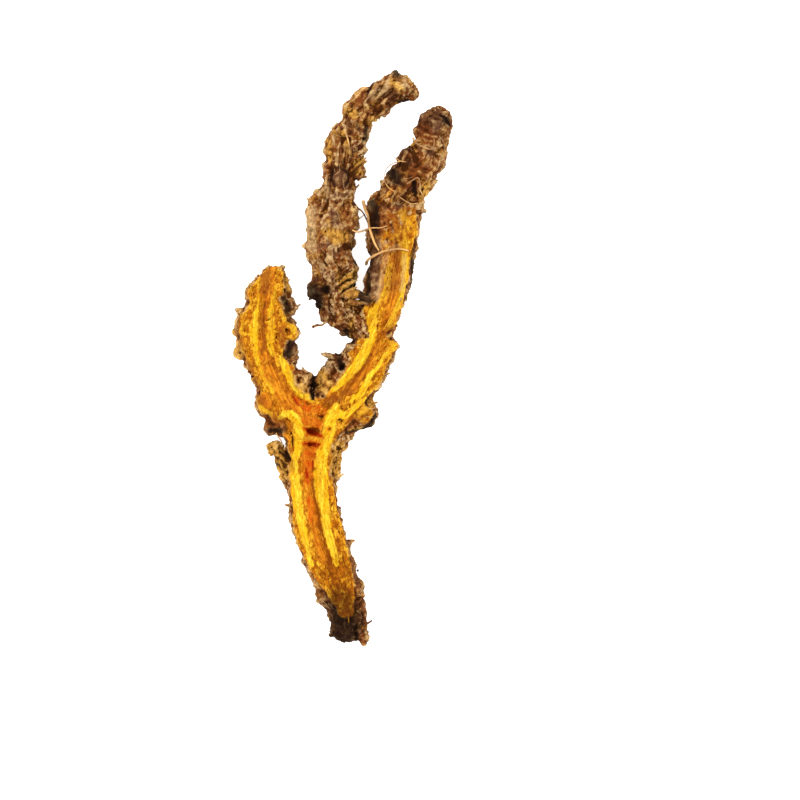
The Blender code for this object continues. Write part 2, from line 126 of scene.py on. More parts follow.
# Marks in sheet steps: each line is a run of (x, y, half width).
# Flesh stands on the opened branches. These add to it where lumps beside them were opened too.
FLESH_PATCHES = (
    ((240, 318, 5), (243, 330, 6), (246, 345, 6)), ((290, 322, 6), (290, 336, 6)),
    ((250, 286, 5), (248, 296, 4)), ((276, 268, 9), (278, 280, 8)),
    ((262, 400, 6), (266, 410, 6), (272, 416, 6)), ((386, 350, 8), (392, 346, 7)),
    ((410, 222, 7), (412, 232, 6)), ((354, 424, 6), (362, 418, 9), (367, 411, 8)),
)
# And these give the bark back where the knife missed it.
BARK_PATCHES = (
    ((345, 360, 6), (337, 370, 7), (327, 382, 8), (321, 393, 5)),
    ((372, 210, 9), (374, 232, 8), (374, 255, 7), (374, 280, 7), (371, 296, 7)),
    ((350, 322, 6), (352, 336, 6), (350, 346, 5)), ((389, 334, 3.4), (394, 331, 2.6)),
    ((290, 345, 5), (288, 354, 6), (291, 362, 3)), ((283, 299, 4), (289, 311, 6)),
    ((268, 428, 8), (280, 429, 6)), ((300, 374, 7), (303, 383, 7), (306, 390, 4)),
    ((313, 376, 4), (314, 388, 4), (313, 397, 3)), ((336, 446, 5), (337, 460, 5), (333, 475, 4)),
    ((270, 448, 9), (278, 460, 9), (282, 472, 8)), ((385, 206, 6), (398, 198, 9), (412, 200, 8)),
    ((384, 216, 4), (384, 228, 3)), ((393, 210, 4), (400, 208, 3)), ((391, 222, 1.6), (392, 232, 1.6)),
    ((399, 216, 1.4), (401, 224, 1.2)), ((409, 212, 2.4),), ((386, 240, 2),),
    ((396, 240, 1.2), (397, 246, 1)), ((382, 250, 2), (381, 262, 1.6)),
)
# Bright wood strands, and those that are dulled.
WOOD = (
    ((281, 357, 2), (284, 363, 3.4), (287, 370, 4.2), (291, 378, 4.6), (296, 386, 4.8), (301, 393, 4.6),
     (307, 397.5, 3.8), (312, 400.5, 1.8)),
    ((280, 418, 2.2), (285, 414, 3.2), (291, 414, 3.8), (297, 420, 4.4), (300, 430, 4.8), (300, 440, 4.6),
     (298, 450, 4), (295, 458, 3.2), (294, 466, 3.6), (295, 475, 4.6), (296, 488, 4.8), (298, 505, 4.2),
     (302, 525, 3.6), (307, 548, 2.8), (312, 565, 2)),
    ((331, 414, 4.6), (330, 424, 6.4), (328, 434, 6), (325, 445, 5.6), (322, 455, 6.4), (320, 465, 7.4),
     (320, 475, 7.2), (321, 490, 6.4), (324, 510, 5.4), (328, 530, 4.4), (333, 550, 3.4), (337, 565, 2.4)),
    ((333, 391, 2.4), (338, 385, 3.2), (346, 378, 4), (353, 370, 4.6), (359, 362, 4.8), (364, 354, 4.8),
     (368, 346, 4.6), (371, 338, 5), (372, 330, 4.6)),
    ((358, 398, 2.4), (362, 391, 3.4), (366, 384, 3), (369, 377, 2.6), (375, 370, 2.2), (381, 362, 2.2)),
    ((336, 406, 3.4), (338, 414, 4.4), (345, 416, 3), (352, 410, 2.8), (358, 404, 2.4), (365, 398, 1.8)),
    ((351, 402, 2), (354, 396, 1.8)),
    ((257, 312, 1.4), (255, 324, 2.2), (254.5, 336, 2.4), (257, 348, 1.8)),
)
DULL_WOOD = (
    ((276, 286, 1.6), (275, 293, 2.1), (273, 300, 2.7), (271.5, 308, 3.1), (271, 316, 3.6), (272, 325, 4.2),
     (271, 335, 4.6), (270, 345, 4.2), (273, 354, 3.2)),
    ((259, 283, 1), (258.5, 295, 1.1), (258, 305, 1.3), (256, 315, 3), (254, 325, 4.2), (253, 335, 4.4),
     (255, 345, 4.6), (256, 355, 3.6), (258, 364, 2.6), (263, 374, 2.2), (268, 384, 2.4), (273, 392, 2.4)),
    ((372, 330, 4.6), (370, 322, 5.2), (373, 312, 4.2), (378, 303, 2.6), (384, 292, 1.6), (386, 280, 1.5),
     (388, 266, 1.8)),
    ((389, 326, 2), (394, 314, 2.8), (399, 302, 3), (403, 290, 3.4), (405, 276, 4), (405, 262, 4.4),
     (404, 250, 3.6), (405, 240, 2.8), (405, 230, 1.4)),
    ((381, 362, 2.2), (388, 352, 2.6), (394, 345, 2)), ((364, 388, 1.6), (372, 382, 1.6)),
    ((283, 318, 2), (290, 322, 3), (294, 332, 2.4)), ((262, 408, 3), (270, 414, 2.6)),
    ((243, 322, 1.6), (242, 334, 1.8)),
)
# The soft pith of the trunk, and all of it.
TRUNK_PITH = (
    (303, 415, 5), (311, 423, 8.5), (313, 432, 8), (312, 442, 8), (310, 452, 7.4), (310, 462, 6.6),
    (308, 472, 5), (308, 482, 4.6), (310, 500, 4.8), (313, 520, 4.6), (318, 540, 4), (323, 560, 3),
)
PITH = (
    TRUNK_PITH,
    ((272, 268, 4), (268, 278, 6.6), (267, 290, 5.4), (267, 300, 3.2), (264.5, 310, 2.4), (263, 320, 2.3),
     (262, 335, 2.6), (262.5, 350, 3.8), (266, 362, 6), (272, 374, 7.4), (278, 386, 8.4), (285, 397, 9),
     (292, 407, 7.6), (300, 417, 7)),
    ((347, 389, 4.6), (354, 385, 5.6), (360, 376, 4), (366, 367, 4.4), (371, 358, 3.8), (375, 350, 3.4),
     (379, 342, 3), (380, 334, 2)),
    ((392, 256, 2.6), (395, 264, 4.6), (396, 276, 5.2), (395, 286, 5.2), (392, 297, 4.8), (389, 308, 4.2),
     (385, 319, 3.2)),
    ((284, 424, 2.4), (287, 434, 2.4), (288, 446, 2.4), (288, 458, 2)), ((264, 396, 4), (268, 402, 5)),
    ((328, 396, 4), (336, 397, 4)), ((272, 331, 0.9), (270.5, 337, 1.2), (273, 343, 0.9)),
    ((282, 331, 0.9), (284, 337, 1.3), (281, 343, 1)),
)
# Orange-red places where the pith has torn, first those that reach below the knife's face,
# and the deep hollows and slits in them.
DEEP_TEARS = (
    ((295, 398.5, 2.2), (300, 403.5, 4.2), (307, 407.5, 5.8), (315, 409.5, 5.4), (323, 411.5, 4)),
    ((303, 428, 2), (310, 432, 4), (316, 435, 4), (322, 437, 2.4)),
    ((304, 443, 3), (312, 445, 4.4), (320, 445, 3)), ((309, 452, 5.6), (309, 464, 5), (308, 480, 4)),
)
TORN = (
    *DEEP_TEARS,
    ((306, 420, 4), (316, 424, 5)), ((329, 429, 2.8),), ((310, 500, 4), (313, 520, 3.4)),
)
HOLLOWS = (
    ((304, 427.5, 1), (308, 430, 2), (313, 432.5, 2.8), (318, 435, 2.3), (322, 437, 1)),
    ((304.5, 443.5, 1), (309, 444.6, 1.6), (315, 445, 1.8), (320, 444.6, 1)),
    ((293, 397, 0.9), (295, 401, 1.5), (298.5, 405.5, 1.2)),
    ((311, 415.8, 0.4), (317, 415.8, 0.5), (325, 414.8, 0.4)), ((315, 454, 1),),
    ((306, 469, 0.9), (307, 477, 1.6)), ((313, 461, 0.6), (312, 468, 0.8)),
)
# Narrow cracks, pores and holes, sunk and painted almost black as painted shade.
HOLES = (
    ((286, 329, 1.5),), ((277, 337, 1),), ((276, 329, 0.7),), ((329.5, 429, 0.7),), ((269, 319, 0.6),),
    ((299.5, 380, 2),), ((341, 367, 2.6),), ((339, 419, 0.7), (342, 421, 0.7)),
    ((313.5, 373, 2), (313, 384, 2.6), (312.5, 394, 2.2), (313, 399, 1)),
    ((250, 377, 0.5), (255, 375.5, 0.4)), ((290, 431, 0.4), (293, 438, 0.5), (293, 447, 0.5)),
    ((323, 396, 0.8),), ((414, 182, 2), (414, 188, 2.6), (416, 194, 1.6)),
    ((374, 83, 1.2), (370, 90, 1.4), (364, 97, 1.2)), ((439, 115, 0.7), (446, 119, 1.2), (450, 125, 1.4)),
    ((393, 170, 2), (393, 178, 2.4)), ((355, 280, 1), (356, 306, 1.2)), ((326, 288, 1.2), (327, 292, 1.6)),
    ((356, 625, 1.4), (356, 640, 1.4)), ((342, 291.8, 0.8), (356, 282.6, 1)),
    ((343, 300, 0.8), (355, 292, 0.8)), ((342, 283.2, 0.8), (356, 275.8, 1)),
    ((344, 275.4, 0.7), (352, 270.2, 0.7)), ((345, 337, 1.4), (349, 341, 1.2)),
    ((333, 357, 1.4), (339, 354, 1.2)),
)
# Patches of the bark and the outer flesh: nearly black, pale, rusty, ochre or plum grey.
BARK_TINTS = {
    "black": (
        ((325, 290, 6),), ((311, 287, 5), (313, 296, 6.4), (318, 304, 6.4)), ((396, 73, 4),),
        ((340, 168.5, 1.4), (347, 171, 1.6), (349, 178, 1.6), (346, 185, 1.6)),
        ((331, 171, 1.4), (330, 180, 1.6), (335, 186, 1.4)), ((315, 290, 6), (318, 300, 7)),
        ((284, 299, 3.4), (288, 309, 4.4)), ((291, 345, 4), (288, 354, 5)), ((270, 430, 3), (280, 431, 3)),
        ((347, 433, 1.8), (358, 431, 2), (370, 424, 2.4), (376, 413, 1.6)),
        ((375, 205, 6), (376, 218, 4.6), (376, 232, 3.4)),
        ((370, 252, 1.9), (369, 286, 2), (367, 298, 2.2)), ((392, 172, 6.6), (397, 180, 6)),
        ((446, 121, 4.4),), ((398, 101, 1.8), (407, 101, 2.6)), ((366, 128, 2.4), (364, 140, 2.2)),
        ((283, 451, 1.4), (288, 458, 1.4)), ((274, 461, 1.2), (278, 466, 1.2)),
        ((340, 600, 14), (345, 622, 19), (341, 642, 15)), ((345, 332, 3), (350, 341, 3)),
        ((338, 356, 3), (341, 367, 4)), ((354, 248, 2), (355, 262, 2)), ((360, 302, 4), (370, 300, 3)),
        ((285, 422, 1.4), (287, 434, 1.2)), ((412, 250, 1.6), (411, 286, 1.6), (407, 300, 1.6)),
    ),
    "pale": (
        ((388, 250, 2.6), (398, 247, 2.6)), ((281, 266, 3),),
        ((310, 216, 4.4), (310, 230, 5), (312, 244, 4.6)), ((321, 266, 3), (324, 272, 2.4)),
        ((326, 178, 1.8), (326, 200, 2)), ((375, 96, 4.4), (382, 92, 4.4)),
        ((330, 309, 3.4), (333, 314, 2.4)), ((386, 256, 2.6), (381, 284, 2.6), (377, 300, 2.4)),
        ((405, 256, 2), (402, 290, 2)), ((348, 348, 2.4),), ((382, 246, 2.4), (388, 242, 2.4)),
    ),
    "rust": (
        ((307, 204, 3.4), (317, 202, 3.4)), ((350, 103, 5.6), (358, 97, 6), (366, 90, 5)),
        ((363, 110, 4.6), (364, 122, 4.6)), ((411, 82, 3), (414, 92, 3.4), (411, 100, 3)),
        ((330, 172, 2.4), (332, 150, 2)), ((348, 212, 6), (350, 224, 5)), ((424, 128, 5), (430, 138, 5)),
        ((418, 132, 4),), ((299, 374, 8), (303, 384, 8)), ((363, 640, 4.2), (363, 646, 4)),
        ((335, 452, 6), (335, 466, 6)), ((284, 450, 7), (288, 468, 7)), ((303, 378, 8),),
        ((352, 424, 5), (360, 417, 6), (366, 410, 5)), ((388, 333, 5), (392, 328, 4)),
        ((430, 172, 5), (434, 164, 4)), ((256, 380, 4), (258, 390, 4)), ((268, 420, 7), (280, 423, 7)),
        ((330, 352, 3), (337, 360, 4)), ((328, 400, 4), (338, 399, 4)), ((342, 393, 3), (350, 391, 3.4)),
        ((287, 449, 3.4), (288, 464, 3.4), (283, 474, 3)), ((268, 272, 3), (266, 288, 3.6)),
        ((396, 284, 2.6),), ((382, 214, 5), (382, 232, 4)), ((283, 346, 3.4), (282, 329, 2.6)),
        ((283, 301, 2.6), (288, 311, 2.6)), ((392, 210, 5), (388, 224, 4)),
        ((398, 213, 4.6), (409, 210, 4.6)), ((324, 324, 6), (336, 326, 5)),
        ((331, 376, 3.4), (334, 384, 3)), ((245, 297, 1.8), (239, 314, 2), (238, 332, 2), (244, 354, 2.4)),
        ((248, 364, 3.6), (254, 384, 4.2), (261, 402, 4)),
        ((264.5, 304, 1.2), (263, 330, 1.4), (264, 350, 1.6)), ((266, 276, 5), (265, 290, 5)),
        ((420, 158, 6), (412, 180, 6)), ((418, 136, 5), (432, 140, 6)), ((444, 108, 4),),
    ),
    "ochre": (
        ((347, 111, 3.6), (355, 115, 3.6)), ((372, 121, 4.4),), ((329, 140, 2.4), (330, 160, 2.4)),
        ((343, 132, 2), (349, 152, 2.2)), ((356, 164, 2.8), (366, 159, 2.4)),
        ((356, 172, 2.4), (362, 172, 2.4)), ((345, 296, 3), (356, 288, 3.4)),
        ((342, 290, 3), (356, 280, 3.4)), ((340, 282, 2.8), (356, 272, 3)), ((326, 232, 4), (338, 234, 4)),
        ((426, 186, 4), (424, 196, 3)), ((351, 322, 2.6), (352, 330, 3)), ((393, 82, 2.8), (400, 89, 2.8)),
        ((270, 446, 8), (279, 462, 9), (284, 474, 7)), ((287, 270, 3), (289, 288, 3.4)),
        ((237, 292, 3.4), (231, 312, 4), (232, 336, 4), (239, 356, 4)), ((252, 276, 3), (246, 286, 3)),
        ((303, 387, 5),), ((339, 446, 5.4), (338, 458, 6), (336, 472, 5.4)), ((322, 374, 4), (330, 384, 4)),
        ((364, 403, 3.6), (373, 402, 3)), ((357, 415, 3), (371, 405, 3)), ((402, 214, 4), (410, 226, 4)),
        ((318, 384, 3), (326, 392, 3)), ((350, 431, 1.6), (362, 427, 1.4)),
        ((346, 340, 2), (350, 334, 2.4)), ((292, 399, 0.8), (302, 412, 0.9)),
        ((305, 426, 0.8), (312, 429.5, 1), (320, 434, 0.8)), ((306, 438.5, 1.5), (320, 438.5, 1.7)),
        ((385, 302, 1.2), (392, 264, 1.4)), ((336, 240, 5), (344, 236, 4)), ((408, 130, 2), (412, 144, 2)),
    ),
    "plum": (
        ((334, 214, 5), (336, 222, 5)), ((331, 244, 5), (336, 250, 5)), ((330, 258, 4),), ((340, 177, 10),),
        ((327, 276, 3), (337, 284, 3)), ((316, 280, 3),), ((326, 320, 5), (336, 330, 5)),
        ((385, 96, 4), (392, 98, 4)), ((376, 246, 6), (375, 270, 6), (373, 290, 5)),
        ((404, 148, 7), (396, 158, 5)), ((412, 162, 5),), ((324, 360, 6), (334, 362, 6)),
        ((430, 126, 13), (436, 120, 13)), ((430, 152, 5),), ((400, 212, 9), (398, 240, 9), (392, 286, 9)),
        ((354, 150, 3), (362, 146, 3)), ((336, 196, 5), (346, 196, 4)),
    ),
}
# Bark that is darker for its kind.
DIM_BARK = (
    ((430, 124, 16), (438, 118, 15)), ((404, 150, 9), (412, 166, 14), (408, 184, 14), (400, 198, 8)),
    ((375, 210, 8), (376, 228, 6), (374, 270, 4)), ((341, 178, 14),),
    ((395, 96, 7), (408, 100, 6), (414, 90, 6)), ((380, 113, 4.5), (391, 106, 4)),
    ((320, 292, 12), (326, 306, 11)), ((342, 330, 9), (350, 340, 8)),
    ((340, 570, 20), (345, 600, 22), (346, 640, 22)), ((272, 427, 9), (282, 428, 7)),
    ((316, 372, 5), (318, 396, 4)), ((354, 250, 3), (355, 262, 3)),
)
# Bark that is smooth for its kind.
SMOOTH_BARK = (
    ((426, 128, 14), (434, 120, 14)), ((428, 142, 12),), ((312, 212, 8), (313, 246, 9)),
    ((336, 216, 12), (338, 244, 12)), ((375, 240, 8), (374, 292, 9)), ((378, 98, 9), (398, 92, 10)),
    ((355, 98, 7), (362, 94, 7)), ((340, 177, 8),), ((325, 380, 8),), ((272, 427, 8), (281, 428, 6)),
    ((374, 206, 7), (377, 230, 7)), ((360, 417, 12),), ((404, 152, 9), (414, 166, 13), (404, 178, 11)),
    ((410, 82, 7),), ((336, 142, 9), (336, 158, 9)),
)

# Round scars and knobs with a raised rim: (x, y, radius, rim height, pit depth), the last two in millimetres.
SCARS = (
    (341, 177.5, 10, -0.12, -0.1), (325, 290, 6.4, 0.12, 0.6), (288, 332, 4.4, 0.25, 0.3),
    (329.5, 429, 3.6, 0.2, 0.25), (372, 121, 4, 0.25, 0.2), (299.5, 380, 5, 0.25, 0.4),
    (341, 367, 4.6, 0.2, 0.4), (352, 113, 4.4, 0.1, -0.2), (277, 447, 4, 0.1, -0.25),
    (332, 366, 4.4, 0.15, -0.2), (404, 90, 5, 0.15, -0.15), (396, 172, 8, -0.12, -0.2),
    (268, 320, 2.4, 0.1, 0.1), (243, 331, 3, 0.15, 0.1), (410, 120, 5, 0.1, -0.15),
    (360, 148, 3.4, 0.15, 0.2), (418, 131, 7, 0, -0.35), (429, 103, 5, 0, 0.4), (435, 105, 4, 0, 0.35),
    (448, 109, 4, 0, -0.3), (396, 73, 4, 0, -0.3), (313, 291, 5, 0, -0.4), (409, 154, 11, -0.1, -0.25),
    (432, 165, 10, -0.1, -0.2), (415, 162, 5, -0.1, -0.15), (277, 336, 4.4, 0.2, 0.15),
    (330, 322, 4.4, 0.15, -0.2), (318, 396, 3.4, 0.12, 0.15), (338, 448, 3.4, 0.15, 0.2),
    (350, 347, 5, -0.08, -0.3),
)

# Torn leaf bases: (foot x, foot y, tip x, tip y, half width) in sheet steps.
LEAF_BASES = (
    (331, 166, 329, 136, 3.4), (345, 166, 350, 140, 1.8), (341, 166, 342, 142, 2.2),
    (353, 166, 352, 146, 2), (352, 169, 367, 158, 2), (353, 174, 365, 164, 2.4), (357, 180, 365, 169, 3),
    (357, 150, 369, 137, 2.6), (356, 160, 369, 150, 2.4), (350, 132, 348, 118, 3),
    (343, 138, 340, 124, 2.6), (354, 110, 366, 92, 5), (348, 116, 351, 104, 3.4), (366, 124, 375, 114, 2.6),
    (376, 112, 396, 96, 2.4), (372, 107, 392, 90, 2.6), (370, 102, 382, 86, 2.6),
    (339, 297, 356.5, 286, 2.6), (338, 288.5, 357, 279, 2.6), (340, 280, 357, 272.5, 2.4),
    (341, 273, 351, 266.5, 1.8), (326, 206, 328, 178, 2), (339, 358, 321, 352.5, 3.8),
    (342, 366, 331, 360, 3), (404, 200, 414, 184, 2), (420, 200, 426, 184, 2), (334, 318, 330, 305, 3.4),
    (328, 270, 320, 258, 2.2), (349, 246, 339, 250, 3), (345, 314, 338, 304, 2.4),
    (352, 330, 350, 318, 2.6), (367, 176, 359, 176, 2), (404, 168, 412, 150, 2.6),
    (398, 166, 402, 152, 2.2), (416, 160, 410, 146, 2.4), (271, 456, 269, 443, 2.6),
    (284, 466, 275, 457, 2.4), (287, 456, 279, 447, 2.2), (286, 474, 279, 469, 2), (275, 452, 267, 448, 2),
    (336, 462, 342, 450, 2.2), (334, 474, 338, 464, 2), (283, 476, 276, 466, 2.4),
    (386, 206, 376, 196, 2.4),
)

# Roots that can be followed with the eye: (x, y) in sheet steps, half thickness and lift off the skin in mm.
LONG_ROOTS = (
    (((366, 264), (368, 260), (374, 256), (382, 252), (390, 250), (400, 249), (409, 251)), 0.17, 0.02),
    (((363, 200), (365, 208), (368, 216), (369, 226), (372, 236), (375, 244), (379, 251)), 0.18, 0.1),
    (((352, 230), (358, 232), (365, 230), (372, 228), (380, 228), (387, 226)), 0.1, 0.02),
    (((413, 138), (416, 143), (421, 146), (428, 149), (432, 149), (434, 145), (434, 139)), 0.12, 0.14),
    (((401, 161), (394, 163), (388, 166), (385, 172), (384, 178), (386, 184), (390, 189),
      (396, 192)), 0.065, 0.1),
    (((407, 184), (413, 180), (418, 178), (420, 183), (420, 189), (422, 194), (424, 197)), 0.08, 0.05),
    (((398, 196), (405, 201), (412, 204), (418, 203)), 0.07, 0.02),
    (((276, 433), (278, 437), (281, 441), (283, 446)), 0.08, 0),
    (((277, 440), (276, 443), (274, 447)), 0.05, 0),
    (((346, 133), (349, 145), (350, 158)), 0.1, 0.05),
    (((394, 157), (400, 161), (406, 162)), 0.05, 0.05),
)
# Roots with bark on them, given in the same way.
TWIGS = (
    (((354, 203), (358, 208), (362, 211), (366, 218), (369, 226)), 0.12, 0),
    (((355, 226), (359, 219), (365, 214)), 0.07, 0),
    (((344, 297), (350, 295), (356, 292), (362, 295), (368, 299), (376, 296)), 0.42, 0),
    (((348, 301), (355, 303), (362, 302), (370, 304)), 0.4, 0),
    (((351, 296), (358, 295), (364, 298), (371, 301)), 0.5, 0),
    (((312, 327), (317, 325), (322, 325), (328, 320)), 0.17, 0),
    (((363, 625), (367, 624), (372, 621)), 0.18, 0),
    (((366, 231), (369, 236), (371, 244)), 0.06, 0),
)

# How much of bright wood's brightness dulled wood has, and how black dim bark is.
DULLED = 0.56
DIM_BLACK = 0.14

# Layers of relief: (size of a lump in millimetres, share, seed). A size may be given along, across and up.
LUMPS = ((1.15, 0.7, 3), (0.7, 0.45, 4))
FINE_LUMPS = ((0.45, 0.6, 5), (0.28, 0.5, 9))
CRUMBS = ((0.42, 0.6, 14), (0.27, 0.5, 15))
FIBRES = (((1.5, 0.26, 1), 0.6, 2), ((3.2, 0.45, 1), 0.4, 4))
# The same in millimetres for how far marks wander from their lines, across and up the sheet.
WANDER = (((0.8, 0.13, 11), (0.3, 0.05, 11)), ((0.8, 0.13, 23), (0.3, 0.05, 23)))
# Flakes of the bark and cells of the flesh: size, step between neighbours, depth of the cracks round them,
# and the size of the cracked areas and the noise at which they begin.
FLAKES = ((1.5, 0.8, 0.9), 0.8, 0.8, 0.9, -0.2)
CELLS = ((0.7, 0.48, 0.6), 0.6, 0.5, 0.7, -0.1)
# Keeps the own numbers of neighbouring flakes apart.
FLAKE_SPREAD = 7.3
# How far the ring wrinkles of the bark stand apart.
RING_SPACING = 1.05

# Heights and depths on the skin in millimetres, and how far it is drawn to the knife's face, as a share.
GAP_DEPTH = 0.12
CUT_EDGE = 0.175
HOLE_DEPTH = 0.3
HOLLOW_DEPTH = 0.18
LEVEL_REACH = 0.5
LEVELLED = 0.6
# Painted shade in the gaps round leaf bases, how much darker the dim bark is, and how much lighter the torn
# flesh's painted shading is.
GAP_SHADE = 0.2
DIM_SHADE = 0.17
TORN_LIGHT = 0.15

# Marks washed over the flesh and the bark: (mark, strength, colour).
FLESH_WASHES = (
    ("rust", 0.6, "rust"), ("ochre", 0.7, "cortex_pale_and_highlight"), ("pale", 0.45, "bark_pale_and_highlight"), ("plum", 0.4, "bark"),
)
# Laid last on the flesh: black marks in the dark bark colour, and the deep hollows in a darker red, partly the
# torn pith's own red and partly painted shade.
FLESH_DEPTHS = (("black", 0.7, "bark_dark_and_shade"), ("deep", 0.9, "hollow"))
BARK_WASHES = (
    ("plum", 0.75, "plum"), ("rust", 0.75, "rust"), ("ochre", 0.8, "ochre"), ("pale", 0.6, "bark_pale_and_highlight"),
)
BARK_DEPTHS = (("black", 0.92, "black"),)
# A texture scale that is the same each way.
EVEN = (1, 1, 1)

SEEDS = {"scales": 5, "roots": 8, "splinters": 12}
# Curls of the leaf shapes, of which torn leaf bases take the flat one.
CURLS = (-0.12, 0.0, 0.14)
# A broken root's sides, and its rings' height and width from the foot to the bottom of its hollow end.
STUB_SIDES = 7
STUB_RINGS = ((0, 1.25), (0.35, 0.95), (0.75, 0.85), (1, 0.9), (0.96, 0.5), (0.6, 0.3))
# How much thinner a thread is at its end, and how uneven.
THREAD_TAPER = 0.45
THREAD_LUMPS = 0.15
# Hairs with a longer step than this would hang in the air. Threads lie no lower than the other height.
LONGEST_STEP = 0.9
LOWEST = 0.15
# The usual height of the middle of a branch.
MIDDLE = 2.4

# The stage: lights as (name, place in metres, diameter, power), and the brightness of the sky and the floor.
LIGHTS = (("key", (-0.13, 0.12, 0.34), 0.14, 0.72), ("fill", (0.25, -0.12, 0.28), 0.3, 0.2))
SKY_LIGHT = 1.3
FLOOR_GLOW = 0.75
FLOOR_SIZE = 3
# The height in millimetres at which a step of the sheet is a step of the picture, and the camera's film.
SHARP_HEIGHT = 4
FILM_WIDTH = 36


def tint(red, green, blue):
    """A colour as it should look on the stage, 0 to 255, as the linear values that a shader takes."""
    parts = (value / 255 for value in (red, green, blue))
    linear = (p / 12.92 if p <= 0.04045 else ((p + 0.055) / 1.055) ** 2.4 for p in parts)
    return tuple(p / STAGE_LIGHT for p in linear)


def length_property(name, about, millimetres):
    return FloatProperty(name=name, description=about, default=millimetres * MM, unit="LENGTH")


def count_property(name, about, default):
    return IntProperty(name=name, description=about, default=default, min=0)


def colour_property(name, about, default):
    return FloatVectorProperty(
        name=name, description=about, subtype="COLOR", size=3, min=0, max=1, default=default
    )


class SkinSettings(bpy.types.PropertyGroup):
    cell: length_property("Cell", "Fineness of the skin", 0.158)
    bark_relief: length_property("Bark relief", "Depth of the cork's lumps", 0.22)
    bark_thickness: length_property("Bark thickness", "How far the cork stands out", 0.1)
    fibre_relief: length_property("Fibre relief", "Depth of the cut fibres", 0.17)
    wood: colour_property("Wood", "Bright wood strands of the cut face", tint(244, 186, 22))
    wood_pale: colour_property("Pale wood", "Their brightest fibres", tint(255, 216, 54))
    cortex: colour_property("Cortex", "Flesh between the wood and the bark", tint(194, 114, 8))
    cortex_pale_and_highlight: colour_property("Pale cortex", "Its lighter fibres", tint(252, 188, 44))
    pith: colour_property("Pith", "Soft centre of the cut face", tint(234, 150, 32))
    pith_deep: colour_property("Deep pith", "Its darker grain", tint(204, 112, 18))
    torn: colour_property("Torn flesh", "Walls of the torn places", tint(216, 88, 12))
    hollow: colour_property("Hollow", "Depths of the torn hollows", tint(164, 38, 6))
    crevice_and_shade: colour_property("Flesh crevice", "Pits and cracks between the cut fibres", tint(124, 58, 2))
    bark: colour_property("Bark", "Middle tone of the bark", tint(134, 84, 38))
    bark_pale_and_highlight: colour_property("Pale bark", "High points of the bark", tint(216, 178, 122))
    bark_dark_and_shade: colour_property("Dark bark", "Crevices of the bark", tint(60, 26, 2))
    rust: colour_property("Rust", "Reddish bark", tint(132, 66, 24))
    ochre: colour_property("Ochre", "Bark that has soaked up the yellow sap", tint(208, 150, 60))
    plum: colour_property("Plum", "Grey bark with a purple cast", tint(102, 68, 48))
    black: colour_property("Black", "Nearly black cork and deep holes", tint(32, 18, 10))


class ScaleSettings(bpy.types.PropertyGroup):
    count: count_property("Count", "Small scales of cork on the bark", 170)
    length: length_property("Length", "Length of an ordinary scale", 0.8)
    thickness: length_property("Thickness", "Thickness of a scale", 0.09)


class RootSettings(bpy.types.PropertyGroup):
    stubs: count_property("Stubs", "Broken roots on the bark", 50)
    hairs: count_property("Hairs", "Hair-thin roots that lie on the bark", 120)
    root: colour_property("Root", "Dry root hairs", tint(232, 176, 106))
    root_dark: colour_property("Dark root", "Their darker lengths", tint(156, 110, 62))


class SplinterSettings(bpy.types.PropertyGroup):
    count: count_property("Count", "Fibres lifted from the cut face", 420)
    length: length_property("Length", "Length of an ordinary fibre", 1.3)


class StageSettings(bpy.types.PropertyGroup):
    floor: colour_property("Floor", "Pale floor", (0.97, 0.97, 0.97))
    lens: FloatProperty(name="Lens", description="Focal length of the camera in millimetres", default=250.0)
    light: FloatProperty(name="Light", description="Strength of the soft light from above", default=1.0)


# Shared shape helpers


def along(stations, share):
    """The values of a list of stations at a share of its length from 0 to 1, on a Catmull-Rom curve."""
    last = len(stations) - 1
    place = min(max(share, 0.0), 1.0) * last
    i = min(int(place), last - 1)
    t = place - i
    four = [stations[min(max(i + k, 0), last)] for k in (-1, 0, 1, 2)]
    return [
        0.5 * (2 * b + (c - a) * t + (2 * a - 5 * b + 4 * c - d) * t * t + (3 * b - a - 3 * c + d) * t ** 3)
        for a, b, c, d in zip(*four)
    ]


def on_sheet(x, y):
    """A place on the sheet of marks in millimetres."""
    return (x - SHEET_X) * STEP, (SHEET_Y - y) * STEP


def smooth_step(low, high, values):
    """0 at one value, 1 at the other and an even curve between them."""
    share = np.clip((values - low) / (high - low), 0, 1)
    return share * share * (3 - 2 * share)


def noise_at(places, size, offset=0.0):
    """Smooth noise from -1 to 1 at each place, with lumps of one size or of a size each way."""
    scaled = places / np.array(size) + offset
    return np.array([noise.noise(Vector(p)) for p in scaled])


def layered(places, layers):
    """Layers of noise added up."""
    return sum(share * noise_at(places, size, seed) for size, share, seed in layers)


def flake_relief(places, grain, size, step, crack, area, begin):
    """Flakes that each stand at a height of their own, with cracks round them in some areas."""
    inside, own = [], []
    for p in grain / np.array(size):
        far, points = noise.voronoi(Vector(p))
        inside.append(far[1] - far[0])
        own.append(noise.cell(points[0] * FLAKE_SPREAD))
    cracked = smooth_step(begin, 0.3, noise_at(places, area, 21))
    return step * (np.array(own) - 0.5) - crack * smooth_step(0.14, 0, np.array(inside)) * cracked


def from_line(places, start, end):
    """How far along a line, from 0 to 1, and how far off it each place (x, y) lies."""
    start, run = np.array(start), np.array(end) - np.array(start)
    share = np.clip((places - start) @ run / max(run @ run, 1e-9), 0, 1)
    return share, np.linalg.norm(places - start - share[:, None] * run, axis=1)


def stroke(places, lines, softness):
    """How strongly each place (x, y) is covered by lines of (x, y, half width) in sheet steps."""
    cover = np.zeros(len(places))
    for line in lines:
        spots = [(*on_sheet(x, y), half * STEP) for x, y, half in line]
        for a, b in zip(spots, spots[1:] or spots):
            share, away = from_line(places, a[:2], b[:2])
            half = a[2] + (b[2] - a[2]) * share
            cover = np.maximum(cover, smooth_step(1 + softness, 1 - softness, away / half))
    return cover


